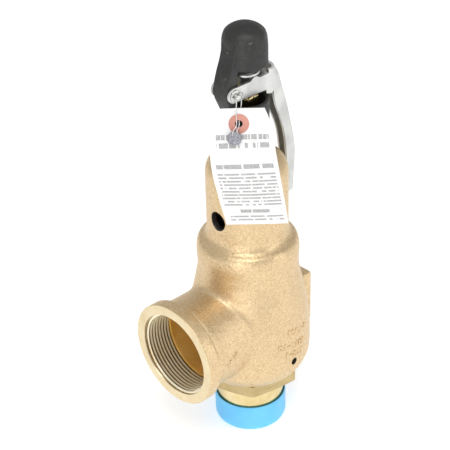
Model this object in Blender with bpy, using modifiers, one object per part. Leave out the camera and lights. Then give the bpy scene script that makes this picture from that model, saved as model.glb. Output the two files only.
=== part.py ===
"""Pressure relief valve, 2 inch male inlet by 2-1/2 inch female outlet, with a lift lever.

Frame: +Z up along the valve's axis, the outlet towards -Y, the lever's handle on the +Y side.
The origin is the centre of the thread protector's flat bottom, on which the valve stands.
"""
import math

import bmesh
import bpy
from mathutils import Matrix, Vector

MM = 0.001

# ---------------------------------------------------------------- clearances and facets
GAP = 0.3 * MM              # between pieces that touch
RUNNING = 0.4 * MM          # radial, between a sliding piece and its guide
ROUND = 36                  # facets of the large turned pieces
SMALL_ROUND = 18            # facets of pins, holes and nuts
OVERCUT = 1.0 * MM          # how far a cutter runs past the face it opens

# ---------------------------------------------------------------- nozzle and thread protector
PIPE_THREAD_R = 30.1 * MM   # 2 inch pipe thread, 60.3 mm over its crests
PROTECTOR_WALL = 1.6 * MM
PROTECTOR_FLOOR = 1.8 * MM
PROTECTOR_HEIGHT = 26.7 * MM
PROTECTOR_CORNER = 3.0 * MM
SHANK_LENGTH = 45.6 * MM
HEX_FLATS = 77.8 * MM
HEX_HEIGHT = 9.5 * MM
HEX_TURN = math.radians(18.5)
BODY_THREAD_R = 33.0 * MM
BODY_THREAD_LENGTH = 16.0 * MM
RING_THREAD_R = 24.0 * MM
SEAT_HEIGHT = 34.8 * MM     # seat face above the hexagon
SEAT_R = 18.6 * MM
SEAT_TAPER = 2.5 * MM
INLET_BORE_R = 24.5 * MM
THROAT_R = 16.3 * MM
THROAT_LENGTH = 24.0 * MM

INLET_END_Z = PROTECTOR_FLOOR + GAP
HEX_BOTTOM_Z = INLET_END_Z + SHANK_LENGTH
HEX_TOP_Z = HEX_BOTTOM_Z + HEX_HEIGHT
SEAT_Z = HEX_TOP_Z + SEAT_HEIGHT

# ---------------------------------------------------------------- cast body
OUTLET_RISE = 53.8 * MM     # outlet axis above the body's lower face
OUTLET_LENGTH = 89.6 * MM   # valve axis to outlet face
OUTLET_BAND_R = 46.0 * MM
OUTLET_BAND_WIDTH = 10.0 * MM
OUTLET_STEP = 2.5 * MM
OUTLET_PIPE_R = 41.0 * MM
OUTLET_MOUTH_R = 37.2 * MM
OUTLET_CHAMFER = 1.8 * MM
OUTLET_THREAD_R = 35.4 * MM
OUTLET_THREAD_DEPTH = 30.0 * MM
OUTLET_PORT_R = 32.8 * MM
BELLY_R = 53.6 * MM
BELLY_WALL = 7.5 * MM
BELLY_LOW = 29.0 * MM       # belly's lower and upper ends, from the outlet axis
BELLY_HIGH = 8.0 * MM
BODY_FOOT_R = 41.2 * MM
WAIST_R = 43.4 * MM
WAIST_RISE = 51.7 * MM
SHOULDER_R = 43.7 * MM
SHOULDER_RISE = 69.0 * MM
NECK_R = 34.7 * MM
NECK_WALL = 5.0 * MM
NECK_RISE = 86.0 * MM       # neck's foot above the outlet axis
NECK_HEIGHT = 57.2 * MM
DOME_R = 16.0 * MM
DOME_WALL = 14.5 * MM
BOSS_HEIGHT = 17.5 * MM
VENT_R = 7.9 * MM
VENT_RISE = 107.5 * MM

BODY_FOOT_Z = HEX_TOP_Z + GAP
OUTLET_Z = BODY_FOOT_Z + OUTLET_RISE
NECK_FOOT_Z = OUTLET_Z + NECK_RISE
NECK_TOP_Z = NECK_FOOT_Z + NECK_HEIGHT
DOME_TOP_Z = NECK_TOP_Z + DOME_R
BOSS_TOP_Z = DOME_TOP_Z + BOSS_HEIGHT
CHAMBER_TOP_Z = DOME_TOP_Z - DOME_WALL
CHAMBER_R = NECK_R - NECK_WALL

PAD_HALF_WIDTH = 18.0 * MM
PAD_REACH = 61.0 * MM       # valve axis to the pad's face
PAD_LOW = 31.0 * MM         # below and above the outlet axis
PAD_HIGH = 20.2 * MM
PLATE_THICKNESS = 0.8 * MM
PLATE_MARGIN = 3.0 * MM
RIVET_R = 1.3 * MM
RIVET_HEAD_R = 2.3 * MM
RIVET_HEAD = 1.0 * MM
RIVET_DEPTH = 4.0 * MM
RIVET_INSET = 3.6 * MM

# ---------------------------------------------------------------- regulator ring and its screw
RING_WALL = 6.7 * MM
RING_HEIGHT = 13.5 * MM
RING_BELOW_SEAT = 2.2 * MM
RING_NOTCHES = 16
RING_NOTCH_WIDTH = 4.6 * MM
RING_NOTCH_DEPTH = 2.2 * MM
RING_SCREW_R = 2.8 * MM
RING_SCREW_TIP_R = 1.9 * MM
RING_SCREW_RECESS = 3.0 * MM
RING_SCREW_THREAD = 14.0 * MM
RING_SCREW_TURN = math.radians(2.0)
SLOT_WIDTH = 1.0 * MM
SLOT_DEPTH = 1.5 * MM

# ---------------------------------------------------------------- disc, holder, guide and stem
DISC_R = 21.0 * MM
DISC_SEAT_R = 19.4 * MM
DISC_LIP = 4.4 * MM
DISC_FLANGE = 3.3 * MM
CLIP_HEIGHT = 1.2 * MM
CLIP_GRIP = 1.0 * MM
SKIRT_WALL = 5.4 * MM
SKIRT_DROP = 1.3 * MM       # skirt's lower edge above the seat
HOLDER_CROWN = 5.5 * MM
HOLDER_R = 15.6 * MM
GUIDE_R = 32.0 * MM
GUIDE_HEIGHT = 15.4 * MM
GUIDE_DROP = 26.5 * MM      # guide's top face below the neck's foot
GUIDE_STANDOUT = 1.4 * MM   # holder's top above the guide
STEM_R = 4.6 * MM
STEM_POCKET = 56.0 * MM
STEM_COLLAR_R = 8.0 * MM
STEM_COLLAR = 3.0 * MM
STEM_COLLAR_RISE = 4.0 * MM
STEM_CHAMFER = 1.5 * MM

# ---------------------------------------------------------------- spring and its steps
WIRE_R = 3.0 * MM
SPRING_R = 20.4 * MM        # to the middle of the wire
SPRING_TURNS = 6.5
SPRING_POINTS_PER_TURN = 14
STEP_PLATE = 3.2 * MM
STEP_HUB = 4.4 * MM
STEP_SHY = 1.2 * MM         # step's rim inside the chamber's wall
UPPER_STEP_CROWN = 2.2 * MM
UPPER_STEP_DROP = 2.6 * MM  # upper step's crown below the chamber's top

# ---------------------------------------------------------------- compression screw and lock nut
SCREW_R = 11.0 * MM
SCREW_TIP_R = 9.0 * MM
SCREW_TIP = 3.0 * MM
SCREW_HEAD_FLATS = 18.6 * MM
SCREW_HEAD = 9.0 * MM
SCREW_STANDOUT = 36.5 * MM  # screw's top above the boss
LOCK_NUT_FLATS = 27.0 * MM
LOCK_NUT_HEIGHT = 10.0 * MM

# ---------------------------------------------------------------- lever cap
CAP_WALL = 3.1 * MM
COLLAR_HEIGHT = 49.4 * MM
HOOD_R = 18.6 * MM
HOOD_WALL = 3.3 * MM
HOOD_HEIGHT = 34.5 * MM
HOOD_CORNER = 12.0 * MM
WINDOW_HEIGHT = 30.0 * MM   # open between the collar and the hood
PILLAR_HALF_WIDTH = 8.0 * MM
PILLAR_INNER = 15.5 * MM
PILLAR_SKIN = 6.7 * MM      # round the pivot
PILLAR_ROOT = 10.0 * MM     # how far the pillar runs down the collar
PILLAR_CREST = 22.0 * MM    # how far it runs up the hood
CAP_SCREW_R = 2.4 * MM
CAP_SCREW_RISE = 8.0 * MM
CAP_SCREW_TURNS = (math.radians(60.0), math.radians(180.0), math.radians(300.0))

# ---------------------------------------------------------------- lever and pivot
PIVOT_STANDOUT = 2.4 * MM   # pivot's axis in front of the collar
PIVOT_DROP = 17.3 * MM      # pivot below the hood's rim
PIN_R = 2.2 * MM
PIN_HEAD_R = 3.9 * MM
PIN_HEAD = 1.4 * MM
PIN_STANDOUT = 3.4 * MM
ARM_GAP = 0.5 * MM
ARM_THICKNESS = 1.9 * MM
HUB_R = 6.4 * MM
WASHER_R = 5.0 * MM
WASHER_THICKNESS = 0.9 * MM
COTTER_R = 0.55 * MM
COTTER_EYE_R = 1.7 * MM
COTTER_LEG = 5.4 * MM
BUMP_RISE = 2.6 * MM

# ---------------------------------------------------------------- lifting washer and nuts
LIFT_GAP = 1.5 * MM         # lever's bumps to the lifting washer
LIFT_WASHER_R = 11.6 * MM
LIFT_WASHER = 2.0 * MM
LIFT_NUT_FLATS = 15.0 * MM
LIFT_NUT = 6.5 * MM
JAM_NUT = 4.5 * MM
STEM_TOP_STANDOUT = 3.5 * MM

CAP_FOOT_Z = DOME_TOP_Z + GAP
COLLAR_TOP_Z = CAP_FOOT_Z + COLLAR_HEIGHT
HOOD_RIM_Z = COLLAR_TOP_Z + WINDOW_HEIGHT
HOOD_TOP_Z = HOOD_RIM_Z + HOOD_HEIGHT
COLLAR_R = NECK_R - DOME_R + 0.5 * MM
COLLAR_BORE_R = COLLAR_R - CAP_WALL
BOSS_R = COLLAR_BORE_R - GAP
PIVOT_Y = -COLLAR_R - PIVOT_STANDOUT
PIVOT_Z = HOOD_RIM_Z - PIVOT_DROP
ARM_INNER_X = PILLAR_HALF_WIDTH + ARM_GAP
ARM_OUTER_X = ARM_INNER_X + ARM_THICKNESS
ARM_TOP_Z = PIVOT_Z + HUB_R - 0.6 * MM

COLLECTION = "Pressure relief valve"


# ---------------------------------------------------------------- scene and materials
def clear_scene():
    for old in list(bpy.data.objects):
        bpy.data.objects.remove(old, do_unlink=True)


def new_collection(name):
    collection = bpy.data.collections.new(name)
    bpy.context.scene.collection.children.link(collection)
    return collection


def material(name, colour, roughness, metallic):
    made = bpy.data.materials.new(name)
    made.use_nodes = True
    shader = made.node_tree.nodes["Principled BSDF"]
    shader.inputs["Base Color"].default_value = (*colour, 1.0)
    shader.inputs["Roughness"].default_value = roughness
    shader.inputs["Metallic"].default_value = metallic
    return made


clear_scene()
PARTS = new_collection(COLLECTION)
CUTTERS = new_collection(COLLECTION + " cutters")

CAST_BRONZE = ("cast bronze", (0.58, 0.42, 0.24), 0.55, 0.75)
MACHINED_BRASS = ("machined brass", (0.78, 0.58, 0.28), 0.28, 1.0)
STEEL = ("plated steel", (0.66, 0.67, 0.64), 0.35, 0.9)
SPRING_STEEL = ("spring steel", (0.32, 0.33, 0.34), 0.4, 1.0)
STAINLESS = ("stainless steel", (0.6, 0.6, 0.6), 0.25, 1.0)
BLACK_IRON = ("painted iron", (0.045, 0.045, 0.042), 0.5, 0.0)
BLUE_PLASTIC = ("blue plastic", (0.13, 0.5, 0.92), 0.4, 0.0)
PAPER = ("tag paper", (0.9, 0.9, 0.88), 0.8, 0.0)
LEAD = ("lead", (0.35, 0.35, 0.38), 0.6, 0.8)
NAMEPLATE_METAL = ("nameplate aluminium", (0.7, 0.7, 0.7), 0.35, 1.0)


# ---------------------------------------------------------------- modelling helpers
def link(obj, collection):
    for old in list(obj.users_collection):
        old.objects.unlink(obj)
    collection.objects.link(obj)


def finish(obj, look):
    obj.data.materials.clear()
    obj.data.materials.append(material(obj.name + " " + look[0], *look[1:]))
    link(obj, PARTS)
    return obj


def as_cutter(obj):
    obj.hide_render = True
    obj.display_type = "WIRE"
    link(obj, CUTTERS)
    return obj


def object_from(name, bm):
    mesh = bpy.data.meshes.new(name)
    bm.to_mesh(mesh)
    bm.free()
    obj = bpy.data.objects.new(name, mesh)
    bpy.context.scene.collection.objects.link(obj)
    return obj


def smooth(obj, angle=35.0):
    obj.data.shade_smooth()
    obj.data.set_sharp_from_angle(angle=math.radians(angle))


def arc(centre_r, centre_z, radius, start, end, steps):
    """Points on a round corner; the angles are in degrees, 0 outwards and 90 upwards."""
    points = []
    for i in range(steps + 1):
        angle = math.radians(start + (end - start) * i / steps)
        points.append((centre_r + radius * math.cos(angle), centre_z + radius * math.sin(angle)))
    return points


def ease(r0, z0, r1, z1, steps):
    """Points on an S-shaped run from one radius to another, without the first one."""
    points = []
    for i in range(1, steps + 1):
        t = i / steps
        blend = 0.5 - 0.5 * math.cos(math.pi * t)
        points.append((r0 + (r1 - r0) * blend, z0 + (z1 - z0) * t))
    return points


def turned(name, profile, facets=ROUND, closed=True):
    """Turn a profile of (radius, height) points about Z; it runs down the outer side."""
    bm = bmesh.new()
    verts = [bm.verts.new((r, 0.0, z)) for r, z in profile]
    for a, b in zip(verts, verts[1:]):
        bm.edges.new((a, b))
    if closed:
        bm.edges.new((verts[-1], verts[0]))
    obj = object_from(name, bm)
    screw = obj.modifiers.new("turn", "SCREW")
    screw.axis = "Z"
    screw.angle = math.tau
    screw.steps = facets
    screw.render_steps = facets
    screw.use_merge_vertices = True
    screw.merge_threshold = 0.00001
    return as_mesh(obj)


def as_mesh(obj):
    """Replace an object by the mesh that its modifiers make of it."""
    bpy.context.view_layer.update()
    source = obj.evaluated_get(bpy.context.evaluated_depsgraph_get())
    mesh = bpy.data.meshes.new_from_object(source)
    bm = bmesh.new()
    bm.from_mesh(mesh)
    bmesh.ops.remove_doubles(bm, verts=bm.verts, dist=0.000001)
    bm.to_mesh(mesh)
    bm.free()
    made = bpy.data.objects.new(obj.name, mesh)
    made.matrix_world = obj.matrix_world
    bpy.context.scene.collection.objects.link(made)
    name = obj.name
    bpy.data.objects.remove(obj, do_unlink=True)
    made.name = name
    return made


def spindle(name, profile, facets=ROUND):
    """A solid turned piece: the profile starts and ends on the axis."""
    return turned(name, profile, facets, closed=False)


def box(name, low, high):
    bm = bmesh.new()
    size = [b - a for a, b in zip(low, high)]
    middle = [(a + b) / 2 for a, b in zip(low, high)]
    place = Matrix.Translation(middle) @ Matrix.Diagonal((*size, 1.0))
    bmesh.ops.create_cube(bm, size=1.0, matrix=place)
    return object_from(name, bm)


def cylinder(name, radius, start, end, facets=SMALL_ROUND, turn=0.0):
    """A round bar between two points."""
    start = Vector(start)
    end = Vector(end)
    along = end - start
    bm = bmesh.new()
    bmesh.ops.create_cone(bm, cap_ends=True, segments=facets, radius1=radius, radius2=radius,
                          depth=along.length)
    obj = object_from(name, bm)
    rotation = Vector((0, 0, 1)).rotation_difference(along.normalized()).to_matrix().to_4x4()
    spin = Matrix.Rotation(turn, 4, "Z")
    obj.data.transform(Matrix.Translation((start + end) / 2) @ rotation @ spin)
    return obj


def hexagon(name, flats, low, high, turn=0.0):
    """An upright hexagonal bar with one corner at this angle from +X."""
    return cylinder(name, flats / math.sqrt(3.0), (0, 0, low), (0, 0, high), 6, turn - math.radians(30))


def extruded(name, outline, thickness):
    """A flat outline in the XY plane, thickened equally both ways along Z."""
    curve = bpy.data.curves.new(name, "CURVE")
    curve.dimensions = "2D"
    curve.fill_mode = "BOTH"
    curve.extrude = thickness / 2
    spline = curve.splines.new("POLY")
    spline.points.add(len(outline) - 1)
    for point, (u, v) in zip(spline.points, outline):
        point.co = (u, v, 0.0, 1.0)
    spline.use_cyclic_u = True
    obj = bpy.data.objects.new(name, curve)
    bpy.context.scene.collection.objects.link(obj)
    return as_mesh(obj)


def tube(name, points, radius, resolution=2):
    """A round wire through the points, with closed ends."""
    curve = bpy.data.curves.new(name, "CURVE")
    curve.dimensions = "3D"
    curve.bevel_depth = radius
    curve.bevel_resolution = resolution
    curve.use_fill_caps = True
    spline = curve.splines.new("POLY")
    spline.points.add(len(points) - 1)
    for point, place in zip(spline.points, points):
        point.co = (*place, 1.0)
    obj = bpy.data.objects.new(name, curve)
    bpy.context.scene.collection.objects.link(obj)
    return as_mesh(obj)


def apply_boolean(obj, other, operation):
    """Cut or join for good; the second shape is used up."""
    modifier = obj.modifiers.new(operation.lower(), "BOOLEAN")
    modifier.operation = operation
    modifier.solver = "EXACT"
    modifier.object = other
    made = as_mesh(obj)
    bpy.data.objects.remove(other, do_unlink=True)
    return made


def join(obj, *others):
    for other in others:
        obj = apply_boolean(obj, other, "UNION")
    return obj


def cut(obj, *others):
    for other in others:
        obj = apply_boolean(obj, as_cutter(other), "DIFFERENCE")
    return obj


def at_radius(radius, turn, z):
    return Vector((radius * math.cos(turn), radius * math.sin(turn), z))


def set_origin(obj, place):
    """Put an object's origin on its joint's axis without moving its shape."""
    place = Vector(place)
    obj.data.transform(Matrix.Translation(-place))
    obj.location = place


def smooth_route(points, count):
    """A smooth curve through the points, read at equal steps (Catmull-Rom)."""
    points = [Vector(p) for p in points]
    padded = [points[0] * 2 - points[1], *points, points[-1] * 2 - points[-2]]
    fine = []
    for a, b, c, d in zip(padded, padded[1:], padded[2:], padded[3:]):
        for i in range(20):
            t = i / 20
            fine.append(0.5 * ((2 * b) + (c - a) * t + (2 * a - 5 * b + 4 * c - d) * t * t
                               + (3 * b - a - 3 * c + d) * t ** 3))
    fine.append(points[-1])
    lengths = [0.0]
    for a, b in zip(fine, fine[1:]):
        lengths.append(lengths[-1] + (b - a).length)
    route = []
    k = 0
    for i in range(count):
        want = lengths[-1] * i / (count - 1)
        while k < len(fine) - 2 and lengths[k + 1] < want:
            k += 1
        part = (want - lengths[k]) / max(lengths[k + 1] - lengths[k], 1e-12)
        route.append(fine[k].lerp(fine[k + 1], min(part, 1.0)))
    return route


# ---------------------------------------------------------------- thread protector and nozzle
PROTECTOR_R = PIPE_THREAD_R + GAP + PROTECTOR_WALL


def make_thread_protector():
    """A push-on cup over the inlet thread, with a flat bottom to stand on."""
    profile = [(0.0, PROTECTOR_FLOOR), (PIPE_THREAD_R + GAP, PROTECTOR_FLOOR),
               (PIPE_THREAD_R + GAP, PROTECTOR_HEIGHT), (PROTECTOR_R, PROTECTOR_HEIGHT)]
    profile += arc(PROTECTOR_R - PROTECTOR_CORNER, PROTECTOR_CORNER, PROTECTOR_CORNER, 0, -90, 3)
    profile.append((0.0, 0.0))
    obj = spindle("thread_protector", profile)
    smooth(obj)
    return finish(obj, BLUE_PLASTIC)


def make_nozzle():
    """Inlet shank, wrench hexagon, body thread and valve seat in one piece."""
    thread_top = HEX_TOP_Z + BODY_THREAD_LENGTH
    seat_foot = SEAT_Z - RING_BELOW_SEAT
    hex_middle = HEX_BOTTOM_Z + HEX_HEIGHT / 2
    profile = [(SEAT_R, SEAT_Z), (SEAT_R + SEAT_TAPER, seat_foot), (RING_THREAD_R, seat_foot),
               (RING_THREAD_R, thread_top), (BODY_THREAD_R, thread_top),
               (BODY_THREAD_R, hex_middle), (PIPE_THREAD_R, hex_middle),
               (PIPE_THREAD_R, INLET_END_Z), (INLET_BORE_R, INLET_END_Z),
               (INLET_BORE_R, HEX_BOTTOM_Z), (THROAT_R, SEAT_Z - THROAT_LENGTH), (THROAT_R, SEAT_Z)]
    turned_part = turned("nozzle", profile)
    wrench = hexagon("wrench", HEX_FLATS, HEX_BOTTOM_Z, HEX_TOP_Z, HEX_TURN)
    core_r = (max(INLET_BORE_R, RING_THREAD_R) + min(PIPE_THREAD_R, BODY_THREAD_R)) / 2
    core = cylinder("core", core_r, (0, 0, HEX_BOTTOM_Z - OVERCUT), (0, 0, HEX_TOP_Z + OVERCUT), ROUND)
    obj = join(turned_part, cut(wrench, core))
    smooth(obj)
    return finish(obj, MACHINED_BRASS)


# ---------------------------------------------------------------- body
def body_outside():
    """The casting's turned outer surface, from the boss down to the foot."""
    profile = [(0.0, BOSS_TOP_Z), (BOSS_R, BOSS_TOP_Z), (BOSS_R, DOME_TOP_Z)]
    profile += arc(NECK_R - DOME_R, NECK_TOP_Z, DOME_R, 90, 0, 5)
    profile.append((NECK_R, NECK_FOOT_Z))
    profile += ease(NECK_R, NECK_FOOT_Z, SHOULDER_R, OUTLET_Z + SHOULDER_RISE, 5)
    profile.append((WAIST_R, OUTLET_Z + WAIST_RISE))
    profile += ease(WAIST_R, OUTLET_Z + WAIST_RISE, BELLY_R, OUTLET_Z - BELLY_HIGH, 6)
    low = OUTLET_Z - BELLY_LOW
    for i in range(6):
        angle = math.radians(90 * i / 5)
        profile.append((BODY_FOOT_R + (BELLY_R - BODY_FOOT_R) * math.cos(angle),
                        low - (low - BODY_FOOT_Z) * math.sin(angle)))
    profile.append((0.0, BODY_FOOT_Z))
    return spindle("body", profile)


def body_hollow():
    """Screw bore, spring chamber, guide seat, outlet chamber and nozzle thread."""
    guide_top = NECK_FOOT_Z - GUIDE_DROP
    guide_foot = guide_top - GUIDE_HEIGHT - GAP
    guide_bore = GUIDE_R + GAP
    belly = BELLY_R - BELLY_WALL
    thread_top = HEX_TOP_Z + BODY_THREAD_LENGTH
    screw_bore = SCREW_R + GAP
    above = BOSS_TOP_Z + OVERCUT
    profile = [(0.0, above), (screw_bore, above), (screw_bore, CHAMBER_TOP_Z),
               (CHAMBER_R, CHAMBER_TOP_Z), (CHAMBER_R, guide_top), (guide_bore, guide_top),
               (guide_bore, guide_foot)]
    profile += ease(guide_bore, guide_foot, belly, OUTLET_Z + OUTLET_PORT_R * 0.45, 4)
    profile += ease(belly, SEAT_Z - 4 * MM, BODY_THREAD_R + GAP, thread_top, 3)
    profile += [(BODY_THREAD_R + GAP, BODY_FOOT_Z - OVERCUT), (0.0, BODY_FOOT_Z - OVERCUT)]
    return spindle("hollow", profile)


def outlet_outside():
    """The outlet branch: a threaded band at the face, then a plain pipe into the belly."""
    step = OUTLET_LENGTH - OUTLET_BAND_WIDTH
    profile = [(0.0, OUTLET_LENGTH), (OUTLET_BAND_R - 0.8 * MM, OUTLET_LENGTH),
               (OUTLET_BAND_R, OUTLET_LENGTH - 0.8 * MM), (OUTLET_BAND_R, step),
               (OUTLET_BAND_R - OUTLET_STEP, step - 1.0 * MM)]
    profile += ease(OUTLET_BAND_R - OUTLET_STEP, step - 1.0 * MM, OUTLET_PIPE_R, step - 22 * MM, 3)
    profile += [(OUTLET_PIPE_R, 0.0), (0.0, 0.0)]
    return lay_along_outlet(spindle("branch", profile))


def outlet_bore():
    thread_end = OUTLET_LENGTH - OUTLET_THREAD_DEPTH
    profile = [(0.0, OUTLET_LENGTH + OVERCUT), (OUTLET_MOUTH_R, OUTLET_LENGTH + OVERCUT),
               (OUTLET_MOUTH_R, OUTLET_LENGTH), (OUTLET_THREAD_R, OUTLET_LENGTH - OUTLET_CHAMFER),
               (OUTLET_THREAD_R, thread_end), (OUTLET_PORT_R, thread_end - 2 * MM),
               (OUTLET_PORT_R, 0.0), (0.0, 0.0)]
    return lay_along_outlet(spindle("bore", profile))


def lay_along_outlet(obj):
    """Turn a piece made along +Z to lie along -Y on the outlet's axis."""
    obj.data.transform(Matrix.Translation((0, 0, OUTLET_Z)) @ Matrix.Rotation(math.radians(90), 4, "X"))
    return obj


def make_body():
    pad = box("pad", (-PAD_HALF_WIDTH, 0.0, OUTLET_Z - PAD_LOW),
              (PAD_HALF_WIDTH, PAD_REACH, OUTLET_Z + PAD_HIGH))
    obj = join(body_outside(), outlet_outside(), pad)
    vent_z = OUTLET_Z + VENT_RISE
    vent = cylinder("vent", VENT_R, (0, 0, vent_z), (0, -NECK_R - OVERCUT, vent_z))
    screw_z = ring_screw_height()
    screw_hole = cylinder("screw hole", RING_SCREW_R + GAP,
                          at_radius(BELLY_R - 2 * BELLY_WALL, RING_SCREW_TURN, screw_z),
                          at_radius(BELLY_R + OVERCUT, RING_SCREW_TURN, screw_z))
    holes = []
    for x, z in rivet_places():
        holes.append(cylinder("rivet hole", RIVET_R + GAP, (x, PAD_REACH - RIVET_DEPTH - GAP, z),
                              (x, PAD_REACH + OVERCUT, z), 12))
    obj = cut(obj, body_hollow(), outlet_bore(), vent, screw_hole, *holes)
    smooth(obj)
    return finish(obj, CAST_BRONZE)


# ---------------------------------------------------------------- nameplate on the back pad
def rivet_places():
    across = PAD_HALF_WIDTH - PLATE_MARGIN - RIVET_INSET
    low = OUTLET_Z - PAD_LOW + PLATE_MARGIN + RIVET_INSET
    high = OUTLET_Z + PAD_HIGH - PLATE_MARGIN - RIVET_INSET
    return [(x, z) for x in (-across, across) for z in (low, high)]


def make_nameplate():
    back = PAD_REACH + GAP
    obj = box("nameplate", (-PAD_HALF_WIDTH + PLATE_MARGIN, back, OUTLET_Z - PAD_LOW + PLATE_MARGIN),
              (PAD_HALF_WIDTH - PLATE_MARGIN, back + PLATE_THICKNESS, OUTLET_Z + PAD_HIGH - PLATE_MARGIN))
    front = back + PLATE_THICKNESS
    obj = cut(obj, *[cylinder("hole", RIVET_R + GAP, (x, PAD_REACH, z), (x, front + OVERCUT, z), 12)
                     for x, z in rivet_places()])
    return finish(obj, NAMEPLATE_METAL)


def make_drive_screws():
    head_z = PAD_REACH + GAP + PLATE_THICKNESS + GAP
    foot = PAD_REACH - head_z - RIVET_DEPTH
    facing_back = Matrix.Rotation(math.radians(-90), 4, "X")
    for number, (x, z) in enumerate(rivet_places(), 1):
        profile = [(0.0, RIVET_HEAD), (RIVET_HEAD_R * 0.6, RIVET_HEAD * 0.85), (RIVET_HEAD_R, 0.0),
                   (RIVET_R, 0.0), (RIVET_R, foot), (0.0, foot)]
        obj = spindle("drive_screw_%d" % number, profile, 12)
        obj.data.transform(Matrix.Translation((x, head_z, z)) @ facing_back)
        smooth(obj)
        finish(obj, STAINLESS)


# ---------------------------------------------------------------- regulator ring
def ring_span():
    """Lower and upper face of the regulator ring on its thread below the seat."""
    top = SEAT_Z - RING_BELOW_SEAT - GAP
    return top - RING_HEIGHT, top


def ring_screw_height():
    low, high = ring_span()
    return (low + high) / 2


def make_regulator_ring():
    low, high = ring_span()
    inner = RING_THREAD_R + RUNNING
    outer = RING_THREAD_R + RING_WALL
    obj = turned("regulator_ring", [(outer - MM, high), (outer, high - MM), (outer, low), (inner, low),
                                    (inner, high)])
    for i in range(RING_NOTCHES):
        turn = math.tau * i / RING_NOTCHES + RING_SCREW_TURN
        notch = box("notch", (outer - RING_NOTCH_DEPTH, -RING_NOTCH_WIDTH / 2, low - OVERCUT),
                    (outer + OVERCUT, RING_NOTCH_WIDTH / 2, low + RING_HEIGHT * 0.7))
        notch.data.transform(Matrix.Rotation(turn, 4, "Z"))
        obj = cut(obj, notch)
    smooth(obj)
    return finish(obj, MACHINED_BRASS)


def make_ring_set_screw():
    """A slotted set screw through the belly wall; its tip stops just clear of the ring."""
    z = ring_screw_height()
    head = BELLY_R - RING_SCREW_RECESS
    neck = head - RING_SCREW_THREAD
    tip = RING_THREAD_R + RING_WALL + RUNNING
    screw = cylinder("ring_set_screw", RING_SCREW_R, (neck, 0, z), (head, 0, z), 16)
    pin = cylinder("pin", RING_SCREW_TIP_R, (tip, 0, z), (neck + MM, 0, z), 16)
    slot = box("slot", (head - SLOT_DEPTH, -SLOT_WIDTH / 2, z - 2 * RING_SCREW_R),
               (head + OVERCUT, SLOT_WIDTH / 2, z + 2 * RING_SCREW_R))
    obj = cut(join(screw, pin), slot)
    obj.data.transform(Matrix.Rotation(RING_SCREW_TURN, 4, "Z"))
    smooth(obj)
    return finish(obj, STAINLESS)


# ---------------------------------------------------------------- disc, holder, guide and stem
DISC_TOP_Z = SEAT_Z + GAP + DISC_LIP + DISC_FLANGE
HOLDER_FOOT_Z = DISC_TOP_Z + GAP
GUIDE_TOP_Z = NECK_FOOT_Z - GUIDE_DROP - GAP
HOLDER_TOP_Z = GUIDE_TOP_Z + GUIDE_STANDOUT
STEM_FOOT_Z = HOLDER_TOP_Z - STEM_POCKET + GAP
STEM_COLLAR_Z = HOLDER_TOP_Z + STEM_COLLAR_RISE
LOWER_STEP_Z = STEM_COLLAR_Z + STEM_COLLAR + GAP
SPRING_FOOT_Z = LOWER_STEP_Z + STEP_PLATE + GAP
UPPER_STEP_TOP_Z = CHAMBER_TOP_Z - UPPER_STEP_DROP
UPPER_PLATE_Z = UPPER_STEP_TOP_Z - UPPER_STEP_CROWN - STEP_PLATE
SPRING_TOP_Z = UPPER_PLATE_Z - GAP
STEP_R = CHAMBER_R - STEP_SHY - NECK_WALL / 4


def make_disc():
    flange = SEAT_Z + GAP + DISC_LIP
    profile = [(0.0, DISC_TOP_Z), (DISC_R, DISC_TOP_Z), (DISC_R, flange), (DISC_SEAT_R, flange),
               (DISC_SEAT_R, SEAT_Z + GAP), (0.0, SEAT_Z + GAP)]
    obj = spindle("disc", profile)
    smooth(obj)
    return finish(obj, STAINLESS)


def make_disc_clip():
    """The wire ring that keeps the disc in its holder."""
    high = SEAT_Z + DISC_LIP
    low = high - CLIP_HEIGHT
    obj = turned("disc_retaining_clip", [(DISC_R + CLIP_GRIP, high), (DISC_R + CLIP_GRIP, low),
                                         (DISC_SEAT_R + GAP, low), (DISC_SEAT_R + GAP, high)])
    gap_at = box("gap", (DISC_SEAT_R - OVERCUT, -2 * MM, low - OVERCUT),
                 (DISC_R + 3 * MM, 2 * MM, high + OVERCUT))
    obj = cut(obj, gap_at)
    smooth(obj)
    return finish(obj, STAINLESS)


def make_disc_holder():
    """Skirt over the disc, then a spindle that slides in the guide, bored for the stem."""
    bore = DISC_R + GAP
    skirt = bore + SKIRT_WALL
    groove_low = SEAT_Z + DISC_LIP - CLIP_HEIGHT - GAP
    groove_high = SEAT_Z + DISC_LIP + GAP
    groove = DISC_R + CLIP_GRIP + GAP
    foot = SEAT_Z + SKIRT_DROP
    crown = HOLDER_FOOT_Z + HOLDER_CROWN
    pocket = STEM_R + GAP
    profile = [(pocket, HOLDER_TOP_Z), (HOLDER_R, HOLDER_TOP_Z), (HOLDER_R, crown + 3 * MM),
               (HOLDER_R + 3 * MM, crown), (skirt - 2 * MM, crown), (skirt, crown - 2 * MM),
               (skirt, foot), (bore, foot), (bore, groove_low), (groove, groove_low),
               (groove, groove_high), (bore, groove_high),
               (bore, HOLDER_FOOT_Z), (0.0, HOLDER_FOOT_Z)]
    profile = [(0.0, HOLDER_TOP_Z - STEM_POCKET), (pocket, HOLDER_TOP_Z - STEM_POCKET)] + profile
    obj = spindle("disc_holder", profile)
    smooth(obj)
    return finish(obj, MACHINED_BRASS)


def make_guide():
    """The bush screwed into the neck's foot, in which the disc holder slides."""
    low = GUIDE_TOP_Z - GUIDE_HEIGHT + GAP
    bore = HOLDER_R + RUNNING
    profile = [(GUIDE_R, GUIDE_TOP_Z), (GUIDE_R, low), (bore, low), (bore, GUIDE_TOP_Z)]
    obj = turned("disc_guide", profile)
    smooth(obj)
    return finish(obj, MACHINED_BRASS)


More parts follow.
